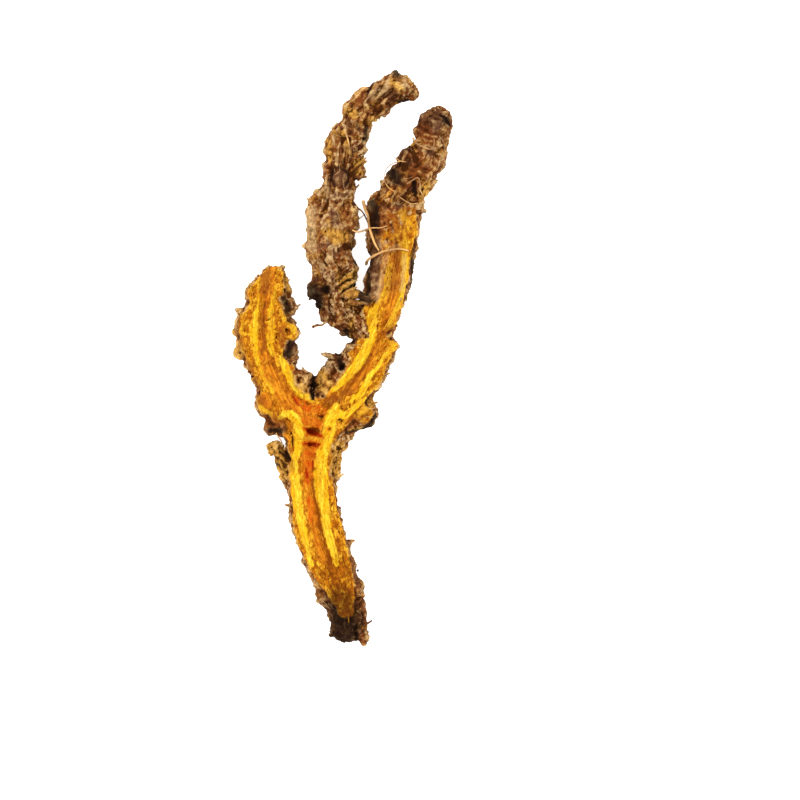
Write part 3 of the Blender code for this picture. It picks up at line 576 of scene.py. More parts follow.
def knife_face(places):
    """The height of the cut face at each place (x, y), as the solid has it."""
    flat = np.column_stack((places, np.zeros(len(places))))
    height = CUT_HEIGHT + CUT_RISE * places[:, 1]
    height += CUT_GRAIN_HEIGHT * noise_at(flat, CUT_GRAIN) + CUT_WAVE_HEIGHT * noise_at(flat, CUT_WAVE)
    sunk = np.zeros(len(places))
    for line in PITH_GROOVES:
        for a, b in zip(line, line[1:]):
            share, away = from_line(places, a[:2], b[:2])
            half, depth = (a[k] + (b[k] - a[k]) * share for k in (2, 3))
            sunk = np.maximum(sunk, depth * np.exp(-((away / half) ** 2)))
    return height - sunk


def centre_lines(spacing):
    """Every branch as points: name, place, direction, side, half width, length so far and its share."""
    rows = []
    for name, stations in BRANCHES.items():
        whole = sum((Vector(b[:3]) - Vector(a[:3])).length for a, b in zip(stations, stations[1:]))
        count = round(whole / spacing)
        for i in range(count + 1):
            share = i / count
            here = along(stations, share)
            run = Vector(along(stations, share + 0.01)[:3]) - Vector(along(stations, share - 0.01)[:3])
            run.normalize()
            side = run.cross(Vector((0, 0, 1))).normalized()
            rows.append((name, here[:3], tuple(run), tuple(side), here[3], whole * share, share))
    return rows


def nearest_branch(places, batch=4000):
    """For each place: branch, share, length, offset across it, distance in half widths, and direction."""
    columns = zip(*centre_lines(spacing=0.22))
    names, centres, runs, sides, halves, lengths, shares = (np.array(column) for column in columns)
    pick = np.empty(len(places), dtype=int)
    for first in range(0, len(places), batch):
        part = places[first:first + batch]
        away = np.linalg.norm(part[:, None, :2] - centres[None, :, :2], axis=2) / halves
        pick[first:first + batch] = away.argmin(axis=1)
    offset = places - centres[pick]
    length = lengths[pick] + (offset * runs[pick]).sum(axis=1)
    across = (offset * sides[pick]).sum(axis=1)
    ratio = np.linalg.norm(offset[:, :2], axis=1) / halves[pick]
    return names[pick], shares[pick], length, across, ratio, runs[pick]


def new_object(name, mesh):
    obj = bpy.data.objects.new(name, mesh)
    bpy.context.scene.collection.objects.link(obj)
    return obj


def finish_piece(obj):
    """Every piece rides on the one body."""
    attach(obj, "root")
    return obj


def bake_modifiers(obj):
    mesh = bpy.data.meshes.new_from_object(obj.evaluated_get(bpy.context.evaluated_depsgraph_get()))
    obj.modifiers.clear()
    obj.data = mesh


# The skin

# Values that the skin stores at every point and its material reads. The last is painted shade and highlight
# from the relief, with some of the bark's own darker tone.
VALUES = (
    "cut", "wood", "pith", "torn", "deep", "hole", "black", "pale", "rust", "ochre", "plum", "smooth", "tone",
)


def fine_copy(cell):
    """A copy of the solid with its facets smoothed away and an even, fine mesh."""
    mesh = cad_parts[NODE].data.copy()
    bm = bmesh.new()
    bm.from_mesh(mesh)
    bmesh.ops.remove_doubles(bm, verts=bm.verts, dist=1e-6)
    bm.to_mesh(mesh)
    bm.free()
    mesh.materials.clear()
    obj = new_object("rhizome_skin", mesh)
    rounder = obj.modifiers.new("rounder", "SUBSURF")
    rounder.levels = rounder.render_levels = 1
    skin = obj.modifiers.new("skin", "REMESH")
    skin.mode = "VOXEL"
    skin.voxel_size = cell
    evener = obj.modifiers.new("evener", "SMOOTH")
    evener.factor = 0.5
    evener.iterations = 4
    bake_modifiers(obj)
    return obj


def vertex_array(mesh, name):
    """Every vertex's place, "co", or normal, "vector"."""
    source = mesh.vertices if name == "co" else mesh.vertex_normals
    values = np.empty(len(source) * 3)
    source.foreach_get(name, values)
    return values.reshape(-1, 3)


def opened_stretch(name, share):
    """Whether the knife opened the branch at each share of its length."""
    opened = np.zeros(len(name), dtype=bool)
    for branch, (low, high) in OPENED.items():
        opened |= (name == branch) & (share >= low) & (share <= high)
    return opened


def cut_share(places, flat, normals, opened, ratio):
    """How far each place is cut flesh: on the knife's face, or in the pith that is torn out below it."""
    level = smooth_step(0.42, 0.2, np.abs(places[:, 2] - knife_face(places[:, :2])))
    level *= smooth_step(0.35, 0.6, normals[:, 2])
    inside = smooth_step(0.99, 0.9, ratio + 0.07 * noise_at(places, 0.6, 31)) * opened
    inside = np.maximum(inside, stroke(flat, FLESH_PATCHES, softness=0.25))
    inside *= 1 - stroke(flat, BARK_PATCHES, softness=0.25)
    sunk = stroke(flat, (*DEEP_TEARS, TRUNK_PITH), softness=0.3) * opened * smooth_step(1, 0.5, ratio)
    return np.maximum(level * inside, sunk * (normals[:, 2] > -0.2))


def read_marks(places, normals):
    """The tissue at each place of the skin, its place in the branch's grain, and the branch's direction."""
    name, share, length, across, ratio, run = nearest_branch(places)
    wander = np.column_stack([layered(places, layers) for layers in WANDER])
    spot = places[:, :2]
    flat = spot + wander
    upper = smooth_step(0.6, 1.5, places[:, 2])
    marks = {
        "cut": cut_share(places, flat, normals, opened_stretch(name, share), ratio),
        "wood": np.maximum(stroke(flat, WOOD, softness=0.4), DULLED * stroke(flat, DULL_WOOD, softness=0.5)),
        "pith": stroke(flat, PITH, softness=0.5),
        "torn": stroke(flat, TORN, softness=0.5),
        "deep": stroke(spot + 0.4 * wander, HOLLOWS, softness=0.5),
        "hole": stroke(spot + 0.5 * wander, HOLES, softness=0.5) * upper,
        "smooth": stroke(flat, SMOOTH_BARK, softness=0.3),
        "dim": stroke(flat, DIM_BARK, softness=0.6),
    }
    for patch, lines in BARK_TINTS.items():
        marks[patch] = stroke(flat, lines, softness=0.6) * upper
    marks["black"] = np.maximum(marks["black"], DIM_BLACK * marks["dim"])
    return marks, np.column_stack((length, across, places[:, 2])), run


def scar_height(places):
    """Raised rims and pits of the round scars in millimetres."""
    height = np.zeros(len(places))
    for x, y, radius, rim, pit in SCARS:
        away = np.linalg.norm(places[:, :2] - np.array(on_sheet(x, y)), axis=1) / (radius * STEP)
        height += rim * np.exp(-(((away - 1) / 0.3) ** 2)) - pit * np.exp(-((away / 0.7) ** 2))
    return height * smooth_step(1.4, 2.2, places[:, 2])


def leaf_gaps(places):
    """Where the bark is hidden round the feet and sides of the leaf bases, to be sunk and given painted shade.
    """
    wide = [
        ((x, y, 1.1 * half + 0.5), (tip_x, tip_y, 0.5 * half + 0.5))
        for x, y, tip_x, tip_y, half in LEAF_BASES
    ]
    return stroke(places, wide, softness=0.3)


def bark_height(places, grain, smooth):
    """Lumps, flakes and ring wrinkles of the bark, about -1 to 1."""
    lumps = layered(places, LUMPS)
    flakes = flake_relief(places, grain + 0.4 * lumps[:, None], *FLAKES)
    rings = 0.25 * np.cos(grain[:, 0] * 2 * math.pi / RING_SPACING + 3 * noise_at(places, 1.6, 13))
    return lumps + (1 - 0.6 * smooth) * (0.8 * layered(places, FINE_LUMPS) + flakes) + rings


def flesh_height(places, grain, marks):
    """Fibres, crumbly cells, raised wood and ragged pores of the cut flesh, about -1 to 1."""
    crumbs = layered(places, CRUMBS)
    cells = flake_relief(places, grain + 0.2 * crumbs[:, None], *CELLS)
    firm = 0.8 * np.maximum(marks["wood"], marks["pith"])
    rough = (1 - 0.6 * firm) * (crumbs + cells) + (0.7 + 0.3 * firm) * layered(grain, FIBRES)
    pores = -0.8 * (1 - 0.7 * firm) * smooth_step(0.3, 0.55, noise_at(grain, (0.5, 0.26, 0.5), 6))
    return rough + pores + 0.9 * marks["wood"] - 0.5 * marks["pith"] + 0.5 * noise_at(places, 0.9, 8)


def shaped(places, normals, marks, grain, gaps, sizes):
    """The skin's places with the bark raised, the cut face level and fibrous, and the holes sunk."""
    cut = marks["cut"]
    above = knife_face(places[:, :2]) - places[:, 2]
    bark = (bark_height(places, grain, marks["smooth"]) - 0.1) * sizes.bark_relief + sizes.bark_thickness
    lift = (1 - cut) * bark / MM - GAP_DEPTH * gaps + scar_height(places)
    moved = places + normals * (lift + CUT_EDGE * cut * (1 - cut))[:, None]
    moved[:, 2] += LEVELLED * cut * (np.abs(above) < LEVEL_REACH) * above
    moved[:, 2] += cut * flesh_height(places, grain, marks) * sizes.fibre_relief / MM
    moved[:, 2] -= HOLE_DEPTH * marks["hole"] * (1 + cut) + HOLLOW_DEPTH * marks["deep"] * cut
    moved[:, 2] = np.maximum(moved[:, 2], 0)
    return moved


class RHIZOME_OT_grow_skin(bpy.types.Operator):
    """Copy the solid, refine it, and give it cut flesh, cork and their marks"""

    bl_idname = "rhizome.grow_skin"
    bl_label = "Grow skin"

    def execute(self, context):
        sizes = context.scene.rhizome_skin
        obj = fine_copy(sizes.cell)
        mesh = obj.data
        places, normals = vertex_array(mesh, "co") / MM, vertex_array(mesh, "vector")
        marks, grain, run = read_marks(places, normals)
        cut = marks["cut"]
        gaps = leaf_gaps(places[:, :2]) * (1 - cut) * (places[:, 2] > 2)
        moved = shaped(places, normals, marks, grain, gaps, sizes)
        mesh.vertices.foreach_set("co", (moved * MM).ravel())
        mesh.update()
        # Painted shade and highlight: darker in the relief's crevices and lighter on its ridges, with painted
        # shade in the gaps round leaf bases and less of it on torn flesh, plus the dim bark's darker colour and
        # a little random tone.
        tone = relief_tone(mesh, moved, vertex_array(mesh, "vector"), cut) + 0.1 * noise_at(places, 0.5, 19)
        tone += TORN_LIGHT * marks["torn"] * cut - GAP_SHADE * gaps - DIM_SHADE * marks["dim"]
        marks["tone"] = np.clip(tone, 0, 1)
        store_marks(mesh, marks, grain)
        store_vector(mesh, "run", run)
        mesh.shade_smooth()
        mesh.materials.append(surface_material())
        finish_piece(obj)
        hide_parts(NODE)
        return {"FINISHED"}


def hollowness(mesh, places, normals, rounds):
    """How far each place lies under the evened surface round it: above 0 in crevices, below it on ridges."""
    ends = np.empty(len(mesh.edges) * 2, dtype=int)
    mesh.edges.foreach_get("vertices", ends)
    first, second = ends.reshape(-1, 2).T
    count = len(places)
    near = np.bincount(first, minlength=count) + np.bincount(second, minlength=count)
    even = places
    for _ in range(rounds):
        total = [
            np.bincount(first, axis[second], count) + np.bincount(second, axis[first], count)
            for axis in even.T
        ]
        even = np.column_stack(total) / near[:, None]
    return ((even - places) * normals).sum(axis=1)


def relief_tone(mesh, places, normals, cut):
    """Painted shading for the relief: about 0.5, less in crevices as painted shade and more on ridges as
    painted highlight.
    """
    close, wide = (hollowness(mesh, places, normals, rounds) for rounds in (3, 30))
    sunk = close / close.std() + wide / wide.std()
    for part in (cut > 0.5, cut <= 0.5):
        sunk[part] = (sunk[part] - sunk[part].mean()) / sunk[part].std()
    return 0.5 - 0.17 * sunk


def store_marks(mesh, marks, grain):
    for name in VALUES:
        values = mesh.attributes.new(name, "FLOAT", "POINT")
        values.data.foreach_set("value", marks[name])
    store_vector(mesh, "grain", grain)


def store_vector(mesh, name, vectors):
    stored = mesh.attributes.new(name, "FLOAT_VECTOR", "POINT")
    stored.data.foreach_set("vector", vectors.ravel())


# Materials


class Paint:
    """A material in the making. Its methods add nodes and give back their outputs."""

    def __init__(self, name):
        self.material = bpy.data.materials.new(name)
        self.material.use_nodes = True
        self.tree = self.material.node_tree
        self.shader = self.tree.nodes["Principled BSDF"]

    @property
    def place(self):
        """The place on the object, in metres."""
        return self.tree.nodes.new("ShaderNodeTexCoord").outputs["Object"]

    def fill(self, node, inputs):
        """Sets inputs by name or number: a link where a socket is given, else a plain value."""
        for name, value in inputs.items():
            socket = node.inputs[name]
            if isinstance(value, bpy.types.NodeSocket):
                self.tree.links.new(value, socket)
            else:
                socket.default_value = (*value, 1) if socket.type == "RGBA" else value

    def node(self, kind, inputs, **settings):
        """A new node with its settings and inputs."""
        node = self.tree.nodes.new(kind)
        for name, value in settings.items():
            setattr(node, name, value)
        self.fill(node, inputs)
        return node

    def stored(self, name, output):
        """A value or vector that the mesh holds under a name."""
        return self.node("ShaderNodeAttribute", {}, attribute_name=name).outputs[output]

    def mix(self, share, low, high):
        """One colour or the other by a share."""
        return self.node("ShaderNodeMix", {0: share, 6: low, 7: high}, data_type="RGBA").outputs[2]

    def times(self, first, second, plus=0.0):
        """Two values multiplied, and a third added."""
        inputs = {0: first, 1: second, 2: plus}
        return self.node("ShaderNodeMath", inputs, operation="MULTIPLY_ADD").outputs[0]

    def greater(self, first, second):
        return self.node("ShaderNodeMath", {0: first, 1: second}, operation="MAXIMUM").outputs[0]

    def stretch(self, value, low, high, bottom=0.0, top=1.0):
        """A value spread from low and high to bottom and top, and held between them."""
        inputs = {"Value": value, "From Min": low, "From Max": high, "To Min": bottom, "To Max": top}
        return self.node("ShaderNodeMapRange", inputs).outputs["Result"]

    def noise(self, vector, scale, size, detail, roughness):
        """Noise whose lumps are stretched by the three values of scale."""
        place = self.node("ShaderNodeMapping", {"Vector": vector, "Scale": scale}).outputs[0]
        inputs = {"Vector": place, "Scale": size, "Detail": detail, "Roughness": roughness}
        return self.node("ShaderNodeTexNoise", inputs).outputs["Fac"]

    def cells(self, vector, scale, bend):
        """Irregular cells bent by noise: the distance from a cell's edge, and a value of the cell's own."""
        place = self.node("ShaderNodeMapping", {"Vector": vector, "Scale": scale}).outputs[0]
        swirl = self.node("ShaderNodeTexNoise", {"Vector": place, "Scale": 0.9, "Detail": 3}).outputs["Color"]
        bends = {0: swirl, 1: (bend, bend, bend), 2: place}
        bent = self.node("ShaderNodeVectorMath", bends, operation="MULTIPLY_ADD").outputs[0]
        inputs = {"Vector": bent, "Scale": 1}
        edge = self.node("ShaderNodeTexVoronoi", inputs, feature="DISTANCE_TO_EDGE")
        return edge.outputs["Distance"], self.node("ShaderNodeTexVoronoi", inputs).outputs["Color"]

    def bump(self, height, strength, millimetres):
        inputs = {"Height": height, "Strength": strength, "Distance": millimetres * MM}
        return self.node("ShaderNodeBump", inputs).outputs["Normal"]

    def finish(self, colour, roughness, shine, normal):
        """The finished material."""
        inputs = {"Base Color": colour, "Roughness": roughness, "Specular IOR Level": shine, "Normal": normal}
        self.fill(self.shader, inputs)
        return self.material


def washed(paint, sizes, value, colour, washes):
    """A colour with marks laid over it: (mark, strength, colour) each."""
    for mark, strength, name in washes:
        colour = paint.mix(paint.times(value[mark], strength), colour, getattr(sizes, name))
    return colour


def flesh_colour(paint, sizes, value, grain):
    """Bright wood and soft pith in speckled cortex, with torn places, marks and pits, painted highlights on the
    cortex's raised places and painted shade in its crevices.
    """
    fine = paint.noise(grain, (0.55, 5, 1), 1, 4, 0.65)
    broad = paint.noise(grain, (0.5, 1.6, 0.8), 1, 4, 0.65)
    speck = paint.noise(grain, (3.4, 5.4, 3.4), 1, 3, 0.7)
    cloud = paint.noise(paint.place, EVEN, 800, 4, 0.7)
    edge, own = paint.cells(grain, (2, 3.2, 2.4), 1.4)
    strand_edge, strand = paint.cells(grain, (0.75, 4.6, 2), 1.1)
    # Lighter cortex where the cell's own value and the painted relief shading are high: partly random tone,
    # partly painted highlight.
    light = paint.times(own, 0.5, paint.times(value["tone"], 0.7, -0.1))
    cortex = paint.mix(paint.stretch(light, 0.42, 0.72), sizes.cortex, sizes.cortex_pale_and_highlight)
    cortex = paint.mix(paint.stretch(cloud, 0.48, 0.64, top=0.6), cortex, sizes.pith_deep)
    cortex = paint.mix(paint.stretch(edge, 0.14, 0.02, top=0.6), cortex, sizes.crevice_and_shade)
    wood = paint.mix(paint.stretch(strand, 0.3, 0.7), sizes.wood, sizes.wood_pale)
    wood = paint.mix(paint.stretch(fine, 0.52, 0.64, top=0.6), wood, sizes.cortex)
    wood = paint.mix(paint.stretch(strand_edge, 0.1, 0, top=0.5), wood, sizes.cortex)
    pith = paint.mix(paint.stretch(strand, 0.35, 0.65), sizes.pith, sizes.pith_deep)
    ragged = paint.times(speck, 0.9, paint.times(broad, 1.2, -1.05))
    wooded = paint.stretch(paint.times(value["wood"], 1, ragged), 0.3, 0.7)
    colour = paint.mix(wooded, cortex, wood)
    pith_share = paint.times(value["pith"], paint.stretch(wooded, 0, 1, 0.85, 0))
    colour = paint.mix(pith_share, colour, pith)
    frayed = paint.stretch(paint.times(own, 0.2, cloud), 0.5, 0.7, 1, 0.3)
    colour = paint.mix(paint.times(value["torn"], frayed), colour, sizes.torn)
    colour = washed(paint, sizes, value, colour, FLESH_WASHES)
    firm = paint.stretch(value["wood"], 0.2, 0.9, 1, 0.7)
    pits = paint.times(paint.stretch(speck, 0.53, 0.64, top=0.75), firm)
    colour = paint.mix(pits, colour, sizes.crevice_and_shade)
    # Painted shade: the crevice colour where the painted relief shading is low.
    colour = paint.mix(paint.stretch(value["tone"], 0.45, 0.15, top=0.85), colour, sizes.crevice_and_shade)
    return washed(paint, sizes, value, colour, FLESH_DEPTHS)


def bark_colour(paint, sizes, value, grain):
    """Brown and rusty cork with ochre and plum areas, with painted highlights on its high points and painted
    shade in its crevices.
    """
    cloud = paint.noise(paint.place, EVEN, 600, 4, 0.65)
    gold = paint.noise(paint.place, (1, 1, 1.3), 1100, 3, 0.65)
    mottle = paint.noise(paint.place, EVEN, 3600, 3, 0.75)
    edge, own = paint.cells(grain, (1.5, 2.3, 1.8), 1.6)
    colour = paint.mix(paint.stretch(cloud, 0.4, 0.6, top=0.85), sizes.bark, sizes.rust)
    colour = paint.mix(paint.stretch(gold, 0.53, 0.65, top=0.65), colour, sizes.ochre)
    colour = paint.mix(paint.stretch(gold, 0.46, 0.36, top=0.6), colour, sizes.plum)
    colour = washed(paint, sizes, value, colour, BARK_WASHES)
    rough = paint.stretch(value["smooth"], 0, 1, 0.9, 0.4)
    # Painted light: the relief's painted shading with a random mottle, the mottle weaker where the bark is
    # smooth.
    light = paint.times(paint.times(mottle, 1, -0.5), rough, paint.times(value["tone"], 1, -0.09))
    light = paint.times(own, 0.3, light)
    # Painted highlights on the high points, golden where the bark is rusty or ochre.
    warm_highlight = paint.times(paint.greater(paint.times(value["rust"], 0.5), value["ochre"]), 0.45)
    high = paint.mix(warm_highlight, sizes.bark_pale_and_highlight, sizes.cortex_pale_and_highlight)
    colour = paint.mix(paint.stretch(light, 0.54, 0.86, top=0.9), colour, high)
    # Dark cracks round the flakes, partly their own colour and partly painted shade, then painted shade where
    # the painted light is low.
    colour = paint.mix(paint.stretch(edge, 0.12, 0.02, top=0.45), colour, sizes.bark_dark_and_shade)
    colour = paint.mix(paint.stretch(light, 0.48, 0.24, top=0.95), colour, sizes.bark_dark_and_shade)
    return washed(paint, sizes, value, colour, BARK_DEPTHS)


def surface_material():
    """Cut flesh and bark in one, told apart by the values stored on the mesh."""
    sizes, paint = bpy.context.scene.rhizome_skin, Paint(TISSUE)
    value = {name: paint.stored(name, "Fac") for name in VALUES}
    grain = paint.stored("grain", "Vector")
    cut = value["cut"]
    colour = paint.mix(cut, bark_colour(paint, sizes, value, grain), flesh_colour(paint, sizes, value, grain))
    # Painted shade in the holes: near black in bark and dark brown in flesh, over their sunk relief.
    hole_shade = paint.mix(cut, sizes.black, sizes.bark_dark_and_shade)
    colour = paint.mix(paint.times(value["hole"], 0.93), colour, hole_shade)
    fibres = paint.noise(grain, (0.7, 9, 2), 1, 3, 0.6)
    crumbs = paint.noise(paint.place, EVEN, 5000, 3, 0.7)
    height = paint.node("ShaderNodeMix", {"Factor": cut, "A": crumbs, "B": fibres}).outputs[0]
    return paint.finish(colour, paint.stretch(cut, 0, 1, 0.86, 0.68), 0.05, paint.bump(height, 0.7, 0.16))


def root_material():
    """Dry root hairs: tan with darker lengths."""
    sizes, paint = bpy.context.scene.rhizome_roots, Paint("root_hair")
    patches = paint.noise(paint.place, EVEN, 700, 3, 0.6)
    colour = paint.mix(paint.stretch(patches, 0.42, 0.62), sizes.root, sizes.root_dark)
    grain = paint.noise(paint.place, EVEN, 6000, 2, 0.6)
    return paint.finish(colour, 0.7, 0.3, paint.bump(grain, 0.4, 0.05))


# Small pieces on the skin


class Skin:
    """The finished skin, as something to stand small pieces on and to read tissue values from."""

    def __init__(self):
        self.mesh = bpy.data.objects["rhizome_skin"].data
        self.places, self.normals = vertex_array(self.mesh, "co"), vertex_array(self.mesh, "vector")
        self.values = {name: self.read(name, "value", 1) for name in VALUES}
        self.grain, self.run = (self.read(name, "vector", 3).reshape(-1, 3) for name in ("grain", "run"))
        bm = bmesh.new()
        bm.from_mesh(self.mesh)
        self.tree = BVHTree.FromBMesh(bm)
        bm.free()
        self.points = KDTree(len(self.places))
        for number, place in enumerate(self.places):
            self.points.insert(place, number)
        self.points.balance()

    def read(self, name, kind, size):
        values = np.empty(len(self.mesh.vertices) * size)
        self.mesh.attributes[name].data.foreach_get(kind, values)
        return values

    def bark(self, above, smoothest=2, facing=-2):
        """The vertices of bark above a height in millimetres, with limits to its smoothness and its slope."""
        chosen = (self.values["cut"] < 0.05) & (self.places[:, 2] > above * MM)
        return np.flatnonzero(chosen & (self.values["smooth"] < smoothest) & (self.normals[:, 2] > facing))

    def flesh(self):
        """The vertices of cut flesh that is neither torn nor holed."""
        sound = (self.values["hole"] < 0.1) & (self.values["torn"] < 0.3)
        return np.flatnonzero((self.values["cut"] > 0.9) & sound)

    def top(self, x, y, otherwise=MIDDLE):
        """The height of the skin under a point in millimetres, or a given height where there is none."""
        hit = self.tree.ray_cast(Vector((x * MM, y * MM, 0.02)), Vector((0, 0, -1)))[0]
        return hit.z / MM if hit else otherwise

    def seat(self, draw, numbers):
        """One of the numbered vertices: its place, its branch's direction on the skin, and its normal."""
        number = int(numbers[draw.randrange(len(numbers))])
        normal, run = Vector(self.normals[number]), Vector(self.run[number])
        return Vector(self.places[number]), (run - normal * run.dot(normal)).normalized(), normal

    def laid(self, points, lift):
        """Points in millimetres brought down to the skin, each lifted off it by a height."""
        found = [self.tree.find_nearest(Vector(p) * MM) for p in points]
        laid = [at / MM + out * lift for at, out, _, _ in found]
        return [Vector((p.x, p.y, max(p.z, LOWEST))) for p in laid]


def add_values(obj, skin, **changes):
    """Gives every point of a small piece the tissue values of the skin beneath it, each kept or changed.

    A change is (factor, addend), and then the limits if they aren't 0 and 1.
    """
    mesh = obj.data
    near = [skin.points.find(v.co)[1] for v in mesh.vertices]
    marks = {name: skin.values[name][near] for name in VALUES}
    for name, (factor, addend, *limits) in changes.items():
        marks[name] = np.clip(marks[name] * factor + addend, *(limits or (0, 1)))
    grain = skin.grain[near].copy()
    grain[:, 2] = vertex_array(mesh, "co")[:, 2] / MM
    store_marks(mesh, marks, grain)


def jitter(draw, reach):
    """A random step within a reach on each axis."""
    return Vector([draw.uniform(-reach, reach) for _ in range(3)])


def stand_on(here, run, normal, lean, turn):
    """A matrix whose Y runs along the branch and Z out of the skin, leaned up and turned by angles."""
    side = run.cross(normal).normalized()
    basis = Matrix((side, run, normal)).transposed().to_4x4()
    return Matrix.Translation(here) @ basis @ Matrix.Rotation(turn, 4, "Z") @ Matrix.Rotation(lean, 4, "X")


def shape_mesh(bm, name):
    bmesh.ops.recalc_face_normals(bm, faces=bm.faces)
    mesh = bpy.data.meshes.new(name)
    bm.to_mesh(mesh)
    bm.free()
    return mesh


def gather(name, placed):
    """One piece of tissue made of many copies of shapes: pairs of a mesh and a matrix."""
    bm = bmesh.new()
    for shape, matrix in placed:
        copy = shape.copy()
        copy.transform(matrix)
        bm.from_mesh(copy)
        bpy.data.meshes.remove(copy)
    return finish_mesh(bm, name)


def finish_mesh(bm, name, material=None):
    """A piece made of a shape, of tissue unless another material is given."""
    mesh = shape_mesh(bm, name)
    mesh.shade_smooth()
    mesh.materials.append(material or bpy.data.materials[TISSUE])
    return finish_piece(new_object(name, mesh))


def leaf_shape(curl):
    """A pointed scale with a cupped back, 1 long up Y from its foot and 1 wide each way."""
    bm = bmesh.new()
    bmesh.ops.create_grid(bm, x_segments=2, y_segments=4, size=0.5)
    for vert in bm.verts:
        side, share = vert.co.x * 2, vert.co.y + 0.5
        width = (0.6 + 0.9 * share) * max(1 - share, 0.01) ** 0.45
        vert.co = Vector((side * width, share, curl * share * share - 0.12 * side * side))
    bmesh.ops.solidify(bm, geom=bm.faces[:], thickness=0.1)
    return shape_mesh(bm, "leaf")


def stub_shape(seed):
    """A broken root 1 long up Z and 1 thick each way, with a hollow, splintered end."""
    bm = bmesh.new()
    bmesh.ops.create_circle(bm, segments=STUB_SIDES, radius=STUB_RINGS[0][1])
    edges = foot = bm.edges[:]
    for height, width in STUB_RINGS[1:]:
        grown = bmesh.ops.extrude_edge_only(bm, edges=edges)["geom"]
        edges = [g for g in grown if isinstance(g, bmesh.types.BMEdge)]
        for vert in (g for g in grown if isinstance(g, bmesh.types.BMVert)):
            flat = Vector((vert.co.x, vert.co.y, 0)).normalized() * width
            vert.co = flat + Vector((0, 0, height))
    for end in (edges, foot):
        bmesh.ops.holes_fill(bm, edges=end, sides=STUB_SIDES)
    noise.seed_set(seed)
    for vert in bm.verts:
        vert.co += noise.noise_vector(vert.co * 1.7 + Vector((seed, 0, 0))) * 0.3 * vert.co.z
    return shape_mesh(bm, "stub")


def threads(name, lines, steps, material=None):
    """One piece of thin round threads: (points, half thickness) in mm, with steps between two points."""
    curve = bpy.data.curves.new(name, "CURVE")
    curve.dimensions = "3D"
    curve.bevel_depth = MM
    curve.bevel_resolution = 1
    curve.use_fill_caps = True
    for points, half in lines:
        count = steps * (len(points) - 1)
        spline = curve.splines.new("POLY")
        spline.points.add(count)
        for i, point in enumerate(spline.points):
            place = Vector(along(points, i / count))
            point.co = (*(place * MM), 1)
            lumps = 1 + THREAD_LUMPS * noise.noise(place / 0.4)
            point.radius = half * (1 - THREAD_TAPER * i / count) * lumps
    source = new_object(name + "_line", curve)
    mesh = bpy.data.meshes.new_from_object(source)
    bpy.data.objects.remove(source)
    bm = bmesh.new()
    bm.from_mesh(mesh)
    bmesh.ops.remove_doubles(bm, verts=bm.verts, dist=1e-8)
    return finish_mesh(bm, name, material)


class RHIZOME_OT_add_scales(bpy.types.Operator):
    """Cover the bark with torn leaf bases and small scales of cork"""

    bl_idname = "rhizome.add_scales"
    bl_label = "Add scales"

    def execute(self, context):
        sizes = context.scene.rhizome_scales
        skin, draw = Skin(), random.Random(SEEDS["scales"])
        shapes = [leaf_shape(curl) for curl in CURLS]
        placed = [(shapes[1], self.base_matrix(skin, base, draw)) for base in LEAF_BASES]
        bark = skin.bark(above=0.8, smoothest=0.3)
        for _ in range(sizes.count):
            here, run, normal = skin.seat(draw, bark)
            long = sizes.length * draw.uniform(0.45, 1.3)
            lean, turn = draw.uniform(0, 0.1), draw.gauss(0, 0.5)
            matrix = stand_on(here - normal * 0.1 * MM, run, normal, lean, turn)
            matrix @= Matrix.Diagonal((long * draw.uniform(0.26, 0.46), long, sizes.thickness * 10, 1))
            placed.append((shapes[draw.randrange(3)], matrix))
        scales = gather("bark_scales", placed)
        # The scales take a weaker copy of the skin's painted shading, and little of its painted hole shade.
        add_values(scales, skin, cut=(0, 0), hole=(0.2, 0), black=(0.85, 0), tone=(0.5, 0.34))
        return {"FINISHED"}

    def base_matrix(self, skin, base, draw):
        """Where a torn leaf base stands: its foot in the skin and its tip just off it."""
        foot_x, foot_y, tip_x, tip_y, half = base
        (ax, ay), (bx, by) = on_sheet(foot_x, foot_y), on_sheet(tip_x, tip_y)
        foot = Vector((ax, ay, skin.top(ax, ay) - 0.03))
        run = Vector((bx - ax, by - ay, 0))
        long = run.length
        run.z = min(max(skin.top(bx, by, foot.z) + 0.1 - foot.z, -0.4 * long), 0.4 * long)
        run.normalize()
        normal = (Vector((0, 0, 1)) - run * run.z).normalized()
        matrix = stand_on(foot * MM, run, normal, 0.04, draw.uniform(-0.1, 0.1))
        return matrix @ Matrix.Diagonal((half * STEP * MM, long * MM, 1.7 * MM, 1))


